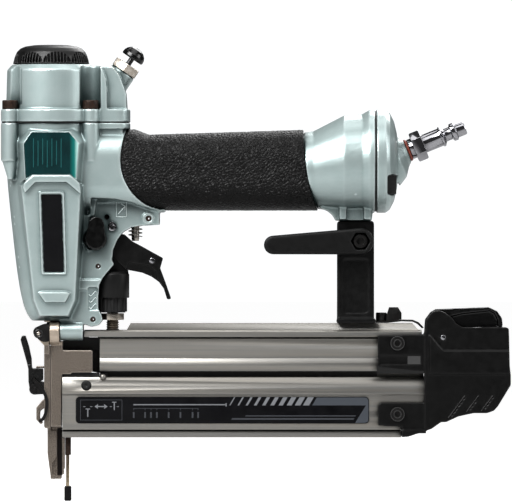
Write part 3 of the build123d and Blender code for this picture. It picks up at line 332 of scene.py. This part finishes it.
def teal_film():
    """Dark teal label that pales towards its rear edge."""
    f = Finish("teal_film", srgb(4, 66, 66), 0.1, 0.25)
    low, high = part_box("window_labels")
    width = high.x - low.x
    rear = f.spread(f.axis("X"), 0, 1, high.x - 0.16 * width, high.x - 0.07 * width)
    rim = f.spread(f.axis("X"), 0, 1, high.x - 0.07 * width, high.x - 0.01 * width)
    dark = f.blend(f.spread(f.noise(7), 0, 1), srgb(1, 30, 32), srgb(2, 42, 43))
    f.set("Base Color", f.blend(rim, f.blend(rear, dark, srgb(12, 104, 98)), srgb(170, 208, 202)))
    f.set("Coat Weight", 0.2)
    f.relief(f.noise(2.5), 0.008)
    return f.material


def thread_sealant():
    f = Finish("thread_sealant", srgb(132, 52, 34), 0.0, 0.5)
    f.set("Base Color", f.blend(f.spread(f.noise(1.0), 0, 1), srgb(112, 42, 28), srgb(150, 66, 44)))
    f.relief(f.noise(0.6, 4), 0.08)
    return f.material


PAINT = cast_paint()
HIGHLIT_PAINT = highlit_paint()
RUBBER = grip_rubber()
BLACK = moulded_black()
SATIN_BLACK = moulded_black("satin_black", 6, 0.26, 0.5, 0.01, 0.45)
SMOOTH_BLACK = moulded_black("smooth_black", 7, 0.42, 0.5, 0.004, 0.3, 12)
KNOB_BLACK = moulded_black("knob_black", 3, 0.2, 0.8, 0.004, 0.45, 4)
SOFT_BLACK = moulded_black("soft_black", 5, 0.52, 0.3, 0.03)
# Paler black for the painted highlights and painted reflection on the rear cover and its screws.
HIGHLIGHT_BLACK = moulded_black("highlight_black", 38, 0.45, 0.5, 0.01)
OXIDE = black_oxide("brown_oxide", srgb(34, 26, 22), srgb(58, 42, 34))
BLACK_STEEL = black_oxide("black_steel", srgb(10, 10, 10), srgb(22, 20, 19), 0.3)
ARM_STEEL = arm_steel()
CHROME = chrome()
NICKEL = nickel()
NOSE = nose_steel()
ALUMINIUM = brushed_aluminium()
STEEL = bright_steel()
FILM = printed_film("black_film", srgb(5, 5, 7))
TEAL = teal_film()
SEALANT = thread_sealant()
GREY_INK = printed_film("grey_ink", srgb(118, 120, 124), 0.4)
DIM_INK = printed_film("dim_ink", srgb(62, 64, 68), 0.4)
BLUE_INK = printed_film("blue_ink", srgb(68, 72, 78), 0.35)
TEAL_INK = printed_film("teal_ink", srgb(26, 76, 76), 0.35)

NODE_FINISH = {
    "housing": PAINT, "cylinder_cap": PAINT, "end_cap": PAINT,
    "handle_grip": RUBBER,
    "exhaust_deflector": SMOOTH_BLACK, "duster_button": KNOB_BLACK, "selector_shaft": KNOB_BLACK,
    "trigger": BLACK, "rear_cover": BLACK, "release_lever": KNOB_BLACK, "depth_adjuster": BLACK,
    "adjuster_guard": BLACK, "end_cap_insert": BLACK, "arm_guide": OXIDE, "latch_lever": SATIN_BLACK,
    "head_valve": BLACK, "belt_hook": SOFT_BLACK, "no_mar_tip": SOFT_BLACK, "bumper": SOFT_BLACK,
    "end_cap_seal": SOFT_BLACK, "cap_gasket": SOFT_BLACK, "rear_bracket": BLACK,
    "cap_bolts": OXIDE, "bracket_screws": BLACK_STEEL, "nose_bolts": BLACK_STEEL,
    "hinge_bracket": BLACK_STEEL, "latch_base": BLACK_STEEL, "latch_bail": BLACK_STEEL,
    "cover_screws": BLACK_STEEL, "hook_bolt": BLACK_STEEL, "catch_spring": BLACK_STEEL,
    "trigger_arm": BLACK_STEEL, "deflector_screw": BLACK_STEEL,
    "air_plug": CHROME, "dial_screw": CHROME, "trigger_pin": CHROME, "cross_pins": OXIDE,
    "duster_bushing": NICKEL, "release_pin": CHROME, "shaft_clip": STEEL, "adjuster_nut": NICKEL,
    "nose_body": NOSE, "nose_door": NOSE, "contact_arm": ARM_STEEL, "driver_blade": STEEL,
    "piston_ring": STEEL, "nail_pusher": STEEL, "head_valve_spring": STEEL,
    "plunger_spring": STEEL, "contact_spring": STEEL, "feed_spring": STEEL, "valve_plunger": STEEL,
    "magazine_rail": ALUMINIUM, "magazine_cover": ALUMINIUM, "cylinder_sleeve": ALUMINIUM,
    "piston": ALUMINIUM, "trigger_valve": ALUMINIUM, "magazine_label": FILM, "name_strips": FILM,
    "window_labels": TEAL,
}


# ---- mesh tools ---------------------------------------------------------------------
def finish_mesh(piece, material):
    """Makes the material the piece's only one."""
    piece.data.materials.clear()
    piece.data.materials.append(material)


def new_piece(name, mesh, material, body):
    """A piece made in Blender that rides on a body of the frame."""
    piece = bpy.data.objects.new(name, mesh)
    bpy.context.scene.collection.objects.link(piece)
    finish_mesh(piece, material)
    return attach(piece, body)


def baked(piece):
    """The piece's mesh with all its modifiers applied."""
    graph = bpy.context.evaluated_depsgraph_get()
    return bpy.data.meshes.new_from_object(piece.evaluated_get(graph))


def moulded(node, name, voxel_mm, rounds, relief=()):
    """A copy of a CAD node with its edges run together, as cast or moulded parts have.

    rounds is the number of smoothing passes; relief holds (texture, depth in mm) pairs."""
    body = NODE_BODY[node]
    piece = bpy.data.objects.new(name, frame["nodes"][node].data.copy())
    bpy.context.scene.collection.objects.link(piece)
    weld(piece.data)
    coarse = 1.0
    remesh = piece.modifiers.new("cast", "REMESH")
    remesh.mode = "VOXEL"
    remesh.voxel_size = voxel_mm * MM * coarse
    smooth = piece.modifiers.new("round", "SMOOTH")
    smooth.factor = 0.5
    smooth.iterations = rounds
    for texture, depth_mm in relief:
        grain = piece.modifiers.new("grain", "DISPLACE")
        grain.texture = texture
        grain.texture_coords = "LOCAL"
        grain.strength = depth_mm * MM
        grain.mid_level = 0.5
    mesh = baked(piece)
    piece.modifiers.clear()
    piece.data = mesh
    mesh.shade_smooth()
    finish_mesh(piece, NODE_FINISH[node])
    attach(piece, body)
    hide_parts(node)
    return piece


def weld(mesh):
    """Joins the split corners of a CAD mesh."""
    cleaner = bmesh.new()
    cleaner.from_mesh(mesh)
    bmesh.ops.remove_doubles(cleaner, verts=cleaner.verts, dist=0.002 * MM)
    cleaner.to_mesh(mesh)
    cleaner.free()


def machined(node, chamfer_mm, segments=2):
    """Breaks the sharp edges of a CAD node that stays as it is."""
    piece = frame["nodes"][node]
    join = piece.modifiers.new("join", "WELD")
    join.merge_threshold = 0.002 * MM
    flat = piece.modifiers.new("flat", "DECIMATE")
    flat.decimate_type = "DISSOLVE"
    flat.angle_limit = math.radians(0.5)
    edge = piece.modifiers.new("edge", "BEVEL")
    edge.width = chamfer_mm * MM
    edge.segments = segments
    edge.limit_method = "ANGLE"
    edge.angle_limit = math.radians(32)
    edge.harden_normals = True
    piece.data.shade_smooth()


def prisms(name, outlines, y0, y1, material, body):
    """Flat pieces standing on a side face: (x, z) outlines in mm run from y0 to y1."""
    builder = bmesh.new()
    for outline in outlines:
        near = [builder.verts.new((x * MM, y0 * MM, z * MM)) for x, z in outline]
        far = [builder.verts.new((x * MM, y1 * MM, z * MM)) for x, z in outline]
        builder.faces.new(near)
        builder.faces.new(far[::-1])
        for i in range(len(outline)):
            j = (i + 1) % len(outline)
            builder.faces.new((near[j], near[i], far[i], far[j]))
    bmesh.ops.recalc_face_normals(builder, faces=builder.faces)
    mesh = bpy.data.meshes.new(name)
    builder.to_mesh(mesh)
    builder.free()
    return new_piece(name, mesh, material, body)


def bar(x0, x1, z0, z1, lean=0.0):
    """A rectangle whose top is shifted along x by lean."""
    return [(x0, z0), (x1, z0), (x1 + lean, z1), (x0 + lean, z1)]


def outline_frame(x0, x1, z0, z1, line):
    """Four bars that frame a rectangle."""
    return [bar(x0, x1, z0, z0 + line), bar(x0, x1, z1 - line, z1),
            bar(x0, x0 + line, z0 + line, z1 - line), bar(x1 - line, x1, z0 + line, z1 - line)]


def lathe(name, origin, direction, profile, material, body, steps=72):
    """A (radius, distance) profile in mm turned about an axis."""
    turn = Vector((0, 0, 1)).rotation_difference(Vector(direction)).to_matrix().to_4x4()
    place = Matrix.Translation(Vector(origin)) @ turn
    builder = bmesh.new()
    rings = []
    for radius, distance in profile:
        ring = []
        for i in range(steps):
            angle = 2 * math.pi * i / steps
            point = Vector((radius * math.cos(angle), radius * math.sin(angle), distance)) * MM
            ring.append(builder.verts.new(place @ point))
        rings.append(ring)
    closing = rings[1:] + rings[:1]
    for lower, upper in zip(rings, closing):
        for i in range(steps):
            j = (i + 1) % steps
            builder.faces.new((lower[i], lower[j], upper[j], upper[i]))
    bmesh.ops.recalc_face_normals(builder, faces=builder.faces)
    mesh = bpy.data.meshes.new(name)
    builder.to_mesh(mesh)
    builder.free()
    mesh.shade_smooth()
    return new_piece(name, mesh, material, body)


def tubes(name, paths, radius_mm, material, body):
    """Round-ended strokes through lists of (x, y, z) points in mm."""
    curve = bpy.data.curves.new(name, "CURVE")
    curve.dimensions = "3D"
    curve.bevel_depth = radius_mm * MM
    curve.bevel_resolution = 3
    curve.use_fill_caps = True
    for path in paths:
        spline = curve.splines.new("NURBS")
        spline.points.add(len(path) - 1)
        for point, place in zip(spline.points, path):
            point.co = (place[0] * MM, place[1] * MM, place[2] * MM, 1)
        spline.order_u = 3
        spline.use_endpoint_u = True
    piece = bpy.data.objects.new(name, curve)
    bpy.context.scene.collection.objects.link(piece)
    mesh = baked(piece)
    bpy.data.objects.remove(piece)
    mesh.name = name
    mesh.shade_smooth()
    return new_piece(name, mesh, material, body)


# ---- castings and mouldings ---------------------------------------------------------
def relief_texture(name, kind, size_mm, **settings):
    texture = bpy.data.textures.new(name, kind)
    texture.noise_scale = size_mm * MM
    for key, value in settings.items():
        setattr(texture, key, value)
    return texture


def cast_and_moulded_parts():
    """Castings and mouldings with softened edges: voxel size in mm and smoothing passes."""
    crinkle = relief_texture("crinkle", "VORONOI", 1.7, distance_metric="DISTANCE", weight_1=-1.0,
                             weight_2=1.0)
    swell = relief_texture("swell", "CLOUDS", 7)
    moulded("housing", "housing_casting", 0.5, 4)
    moulded("cylinder_cap", "cylinder_cap_casting", 0.5, 4)
    moulded("end_cap", "end_cap_casting", 0.5, 4)
    moulded("handle_grip", "handle_grip_sleeve", 0.45, 4, [(crinkle, 0.45), (swell, 0.25)])
    moulded("nose_body", "nose_body_casting", 0.3, 3)
    moulded("nose_door", "nose_door_casting", 0.25, 3)
    moulded("rear_cover", "rear_cover_moulding", 0.5, 4)
    moulded("release_lever", "release_lever_moulding", 0.35, 4)
    moulded("rear_bracket", "rear_bracket_moulding", 0.45, 4)
    moulded("belt_hook", "belt_hook_moulding", 0.45, 5)
    moulded("trigger", "trigger_moulding", 0.3, 4)
    moulded("selector_shaft", "selector_knob", 0.3, 4)
    moulded("exhaust_deflector", "exhaust_deflector_moulding", 0.25, 3)
    moulded("latch_lever", "latch_lever_moulding", 0.25, 3)
    moulded("no_mar_tip", "no_mar_tip_moulding", 0.2, 4)


MOULDED = ("housing", "cylinder_cap", "end_cap", "handle_grip", "nose_body", "nose_door", "rear_cover",
           "release_lever", "rear_bracket", "belt_hook", "trigger", "selector_shaft",
           "exhaust_deflector", "latch_lever", "no_mar_tip")
CRISP = {
    "cap_bolts": 0.25, "deflector_screw": 0.2, "duster_bushing": 0.35, "air_plug": 0.15,
    "bracket_screws": 0.2, "cross_pins": 0.2, "dial_screw": 0.2, "hook_bolt": 0.2,
    "cover_screws": 0.2, "trigger_pin": 0.2, "release_pin": 0.3, "nose_bolts": 0.15,
    "contact_arm": 0.12, "arm_guide": 0.2, "catch_spring": 0.08, "adjuster_guard": 0.3,
    "adjuster_nut": 0.25, "hinge_bracket": 0.3, "latch_base": 0.15, "magazine_rail": 0.25,
    "magazine_cover": 0.08, "magazine_label": 0.05, "end_cap_insert": 0.3,
}


def cad_nodes():
    """Gives every CAD node its finish and the machined ones their broken edges."""
    for node, piece in frame["nodes"].items():
        finish_mesh(piece, NODE_FINISH[node])
        if node not in MOULDED:
            piece.data.shade_flat()
    for node, width in CRISP.items():
        machined(node, width)


# ---- small pieces -------------------------------------------------------------------
def label_graphics():
    """Generic range scale, stripes and pictogram on the magazine's label."""
    low, high = (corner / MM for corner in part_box("magazine_label"))
    left, right, bottom, top = low.x, high.x, low.z, high.z
    face = low.y
    ink = (face - 0.06, face + 0.02)
    body = NODE_BODY["magazine_label"]

    dim = outline_frame(left + 2.4, left + 25.2, bottom + 1.7, bottom + 12.9, 0.25)
    dim.append(bar(left + 31.3, left + 66.6, bottom + 8.0, bottom + 8.25))
    for step in (0, 6.2, 9.4, 12.6, 19.0, 25.4, 32.0, 35.0):
        dim.append(bar(left + 31.3 + step, left + 31.6 + step, bottom + 7.2, bottom + 8.0))
        dim.append(bar(left + 31.0 + step, left + 31.9 + step, bottom + 3.0, bottom + 6.2))
    dim.append(bar(left + 84.5, left + 151, bottom + 2.0, bottom + 2.9, 0.5))
    dim.append(bar(left + 92, left + 152, bottom + 3.8, bottom + 4.4, 0.3))
    prisms("label_dim_marks", dim, *ink, DIM_INK, body)

    grey = [bar(left + 31.3, left + 81.6, bottom + 9.9, bottom + 10.5),
            bar(left + 81.3, left + 82.0, bottom + 9.3, bottom + 11.0)]
    for centre, head in ((6.5, 7.6), (20.9, 11.3)):
        x = left + centre
        grey.append(bar(x - 1.2, x + 1.2, bottom + head, bottom + head + 0.5))
        grey.append(bar(x - 0.3, x + 0.3, bottom + head - 4.0, bottom + head))
        for side in (-1, 1):
            grey.append(bar(x + 1.9 * side - 0.6, x + 1.9 * side + 0.6, bottom + 9.0, bottom + 9.3))
    arrow = left + 13.7
    grey.append(bar(arrow - 1.8, arrow + 1.8, bottom + 8.9, bottom + 9.5))
    for side in (-1, 1):
        grey.append([(arrow + 3.5 * side, bottom + 9.2), (arrow + 1.7 * side, bottom + 10.5),
                     (arrow + 1.7 * side, bottom + 7.9)])
    prisms("label_grey_marks", grey, *ink, GREY_INK, body)

    stripes = []
    for i in range(10):
        start = left + 83.4 + 4.45 * i
        stripes.append(bar(start, start + 0.6 + 0.3 * i, bottom + 9.8, top - 0.15, 2.6))
    panel = [(left + 128.5, bottom + 9.8), (right - 1.6, bottom + 9.8), (right - 7.5, bottom + 0.3),
             (right - 2.0, bottom + 0.3), (right - 0.6, bottom + 0.9), (right - 0.3, bottom + 2.0),
             (right - 0.3, top - 2.0), (right - 0.9, top - 0.7), (right - 2.0, top - 0.3),
             (left + 131.0, top - 0.3)]
    prisms("label_stripes", stripes, *ink, GREY_INK, body)
    prisms("label_panel", [panel], *ink, BLUE_INK, body)


def window_graphics():
    """Plain pinstripes on both head labels, in place of printed lines."""
    low, high = (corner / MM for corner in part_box("window_labels"))
    lines = []
    for i in range(7):
        x = low.x + 5.0 + 2.5 * i
        lines.append(bar(x, x + 0.4, low.z + 6.5 + 0.8 * (i % 3), high.z - 3.5 - 1.1 * (i % 2)))
    body = NODE_BODY["window_labels"]
    prisms("window_lines_left", lines, low.y - 0.05, low.y + 0.02, TEAL_INK, body)
    prisms("window_lines_right", lines, high.y - 0.02, high.y + 0.05, TEAL_INK, body)


def flow_marks():
    """Three raised wave marks in the recess below the lower pin, on both sides."""
    paths = []
    for side in (-1, 1):
        for i in range(3):
            z = 94.3 + 3.4 * i
            wave = ((-2.1, -0.4), (-1.6, -1.5), (-0.7, -1.4), (0.8, 0.6), (1.6, 1.2), (2.1, 0.5))
            paths.append([(20.9 + dx, side * 10.05, z + dz) for dx, dz in wave])
    # Drawn in the paler paint as painted highlight.
    tubes("flow_marks", paths, 0.3, HIGHLIT_PAINT, "housing")


def ear_icon():
    """Raised frame with a slanting arrow on both trigger walls."""
    x0, x1, z0, z1 = 33.7, 39.2, 142.7, 151.0
    lines = [((x0, z0), (x0, z1)), ((x0, z1), (x1, z1)), ((x1, z1), (x1, z0)), ((x1, z0), (x0, z0)),
             ((34.8, 144.4), (38.5, 148.4)), ((38.5, 148.4), (38.3, 146.2)),
             ((38.5, 148.4), (36.4, 149.8))]
    paths = [[(x, side * 10.5, z) for x, z in line] for line in lines for side in (-1, 1)]
    # Drawn in the paler paint as painted highlight.
    tubes("ear_icon", paths, 0.26, HIGHLIT_PAINT, "housing")


def cover_lines():
    """Painted highlights along the rear cover's slanting grooves, the skirts of its tabs, and a painted
    reflection on the ramps of its tabs.
    """
    paths = []
    for x, z in ((214.1, 33.2), (224.0, 36.6), (231.9, 36.9)):
        top = (x + (45.6 - z) * 0.72, 45.6)
        paths += [[(x, side * 12.95, z + 0.3), (top[0], side * 12.95, top[1])] for side in (-1, 1)]
    # Painted highlight lines along the grooves.
    tubes("cover_groove_highlights", paths, 0.2, HIGHLIGHT_BLACK, "magazine_slide")
    skirt = [(175.4, 57.6), (201.0, 57.6), (201.0, 59.0), (196.0, 59.2), (176.8, 61.2), (175.4, 62.4)]
    for side, name in ((-1, "near"), (1, "far")):
        prisms("tab_skirt_" + name, [skirt], side * 11.2, side * 12.8, BLACK, "magazine_slide")
        # Painted reflection on each tab ramp.
        prisms("tab_ramp_reflection_" + name, [bar(192.0, 199.0, 62.6, 67.0)], side * 12.1, side * 12.42, HIGHLIGHT_BLACK,
               "magazine_slide")


def screw_highlight_rings():
    """Painted highlight rings on the rims and sockets of the rear cover's screws."""
    low, high = (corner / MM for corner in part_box("cover_screws"))
    reach = 3.9
    for name, z in (("low", low.z + reach), ("high", high.z - reach)):
        origin = Vector(((low.x + high.x) / 2, low.y, z)) * MM
        for part, radius in (("rim", 3.45), ("socket", 1.85)):
            ring = ((radius, -0.1), (radius + 0.3, -0.1), (radius + 0.3, 0.06), (radius, 0.06))
            # Paler rings as painted highlight.
            lathe("screw_" + part + "_" + name, origin, (0, -1, 0), ring, HIGHLIGHT_BLACK, "magazine_slide")


def magazine_shadow_sheets():
    """Dark strips painted as shadow in the cover's long groove, and dark plates painted as shadow under
    and behind the nose guide.
    """
    # Painted shadow: dark sheets standing in for the shade in these gaps.
    prisms("groove_shadow_strip", [bar(25.0, 175.4, 55.7, 58.6)], -4.3, -3.9, SOFT_BLACK, "magazine_slide")
    prisms("groove_end_shadow", [bar(24.6, 28.6, 55.7, 57.4)], -8.0, -3.9, SOFT_BLACK, "magazine_slide")
    prisms("guide_shadow_strip", [bar(4.2, 24.4, 56.0, 57.9)], -8.0, -1.0, SOFT_BLACK, "housing")
    prisms("guide_shadow_plate", [bar(4.5, 24.4, 70.2, 77.0)], -1.0, -0.7, SOFT_BLACK, "housing")


def trigger_web():
    """Thin black web between the trigger walls, which the contact arm's guard slides up around."""
    outline = [(27.0, 112.3), (40.2, 112.3), (39.7, 114.9), (31.5, 122.9), (27.0, 124.0)]
    prisms("trigger_web", [outline], -1.2, 1.2, SOFT_BLACK, "housing")


def hinge_pin_heads():
    """Bright ends of the nose door's hinge pin, in their black washers."""
    low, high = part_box("hinge_bracket")
    reach = max(-low.y, high.y) / MM
    for side in (-1, 1):
        origin = (-8.6 * MM, side * (reach - 0.1) * MM, 79.2 * MM)
        ring = ((0.01, 0), (2.5, 0), (2.5, 0.5), (2.2, 0.8), (1.5, 0.8), (1.3, 0.3), (0.01, 0.3))
        stud = ((0.01, 0.2), (1.05, 0.2), (1.05, 0.7), (0.8, 0.95), (0.01, 1.05))
        name = "near" if side < 0 else "far"
        lathe("hinge_washer_" + name, origin, (0, side, 0), ring, SATIN_BLACK, "housing")
        lathe("hinge_stud_" + name, origin, (0, side, 0), stud, NICKEL, "housing")


def thread_seal():
    """Ring of sealant squeezed out where the air plug screws into its boss."""
    mount = next(m for m in frame["record"]["mounts"] if m["name"] == "air_plug_nose")
    axis = Vector(mount["axis"])
    boss = Vector(mount["pos_m"]) - axis * 31.0 * MM
    profile = ((5.05, 0.05), (6.1, 0.05), (6.2, 0.6), (5.9, 1.2), (5.6, 1.45), (5.05, 1.45))
    lathe("thread_seal", boss, axis, profile, SEALANT, "housing")


def cover_plug():
    """Black plug in the round hole at the front of the magazine cover."""
    profile = ((0.01, 0), (2.75, 0), (2.75, 1.9), (2.4, 2.25), (0.01, 2.35))
    lathe("cover_hole_plug", (17.4 * MM, -8.05 * MM, 51.0 * MM), (0, -1, 0), profile, SOFT_BLACK,
          "magazine_slide")


# ---- stage --------------------------------------------------------------------------
def plain_material(name, colour, glow):
    """Pale card that glows to the camera only, so that it doesn't light the tool."""
    material = bpy.data.materials.new(name)
    material.use_nodes = True
    tree = material.node_tree
    shader = tree.nodes["Principled BSDF"]
    shader.inputs["Base Color"].default_value = colour
    shader.inputs["Roughness"].default_value = 0.9
    shader.inputs["Emission Color"].default_value = colour
    seen = tree.nodes.new("ShaderNodeMath")
    seen.operation = "MULTIPLY"
    seen.inputs[1].default_value = glow
    path = tree.nodes.new("ShaderNodeLightPath")
    tree.links.new(path.outputs["Is Camera Ray"], seen.inputs[0])
    tree.links.new(seen.outputs[0], shader.inputs["Emission Strength"])
    return material


def floor_disc():
    """A wide pale floor that meets the pale sky at the horizon."""
    builder = bmesh.new()
    bmesh.ops.create_circle(builder, cap_ends=True, segments=96, radius=FLOOR_RADIUS)
    bmesh.ops.translate(builder, verts=builder.verts, vec=(0, 0, CAD_BOX[0][2]))
    mesh = bpy.data.meshes.new("floor")
    builder.to_mesh(mesh)
    builder.free()
    floor = bpy.data.objects.new("floor", mesh)
    bpy.context.scene.collection.objects.link(floor)
    finish_mesh(floor, plain_material("pale_floor", (0.45, 0.45, 0.45, 1), 2.0))


# Name, place from the tool's centre in metres, size in metres and power in watts.
LIGHTS = (
    ("key", (-0.36, -0.42, 0.5), (0.4, 0.4), 8),
    ("front", (0.1, -0.9, 1.6), (2.2, 0.8), 12),
    ("top", (0.1, 0.2, 1.3), (1.4, 0.5), 4),
    ("rim", (1.2, -0.4, 0.6), (0.5, 0.9), 7),
    ("back", (0.4, 1.0, 0.9), (1.0, 0.8), 14),
)
SKY_ON_FACES = 0.25       # light that the sky throws on matt faces
SKY_MIRRORED = 0.07       # the same sky in a reflection
SKY_SEEN = 1.1            # and what the camera sees of it on top
FLOOR_RADIUS = 18.0       # metres, so that the floor's edge stays out of sight


def area_light(name, place, aim, size, power):
    """A rectangular softbox turned towards a point."""
    lamp = bpy.data.lights.new(name, "AREA")
    lamp.shape = "RECTANGLE"
    lamp.size, lamp.size_y = size
    lamp.energy = power
    light = bpy.data.objects.new(name, lamp)
    light.location = place
    light.rotation_euler = (Vector(aim) - Vector(place)).to_track_quat("-Z", "Y").to_euler()
    bpy.context.scene.collection.objects.link(light)


def lights_and_camera():
    """Softboxes, a pale sky and a level camera far out on the near side."""
    low, high = (Vector(corner) for corner in CAD_BOX)
    centre = (low + high) / 2
    for name, offset, size, power in LIGHTS:
        area_light(name, centre + Vector(offset), centre, size, power)

    world = bpy.data.worlds.new("studio")
    bpy.context.scene.world = world
    world.use_nodes = True
    tree = world.node_tree
    sky = tree.nodes["Background"]
    sky.inputs["Color"].default_value = (0.78, 0.79, 0.8, 1)
    level = tree.nodes.new("ShaderNodeMapRange")
    level.inputs["To Min"].default_value = SKY_ON_FACES
    level.inputs["To Max"].default_value = SKY_MIRRORED
    path = tree.nodes.new("ShaderNodeLightPath")
    tree.links.new(path.outputs["Is Glossy Ray"], level.inputs["Value"])
    seen = tree.nodes.new("ShaderNodeMath")
    seen.operation = "MULTIPLY_ADD"
    seen.inputs[1].default_value = SKY_SEEN
    tree.links.new(path.outputs["Is Camera Ray"], seen.inputs[0])
    tree.links.new(level.outputs["Result"], seen.inputs[2])
    tree.links.new(seen.outputs["Value"], sky.inputs["Strength"])

    view_width, distance, lift = 0.27904, 4.0, 0.0117
    target = centre + Vector((0, 0, lift))
    lens = bpy.data.cameras.new("camera")
    lens.sensor_width = 36
    lens.lens = lens.sensor_width * distance / view_width
    lens.clip_end = 20
    camera = bpy.data.objects.new("camera", lens)
    camera.location = target + Vector((0, -distance, 0))
    camera.rotation_euler = (math.pi / 2, 0, 0)
    bpy.context.scene.collection.objects.link(camera)
    bpy.context.scene.camera = camera
    bpy.context.scene.view_settings.view_transform = "Standard"


cad_nodes()
cast_and_moulded_parts()
label_graphics()
window_graphics()
flow_marks()
ear_icon()
cover_lines()
screw_highlight_rings()
magazine_shadow_sheets()
trigger_web()
hinge_pin_heads()
thread_seal()
cover_plug()
floor_disc()
lights_and_camera()
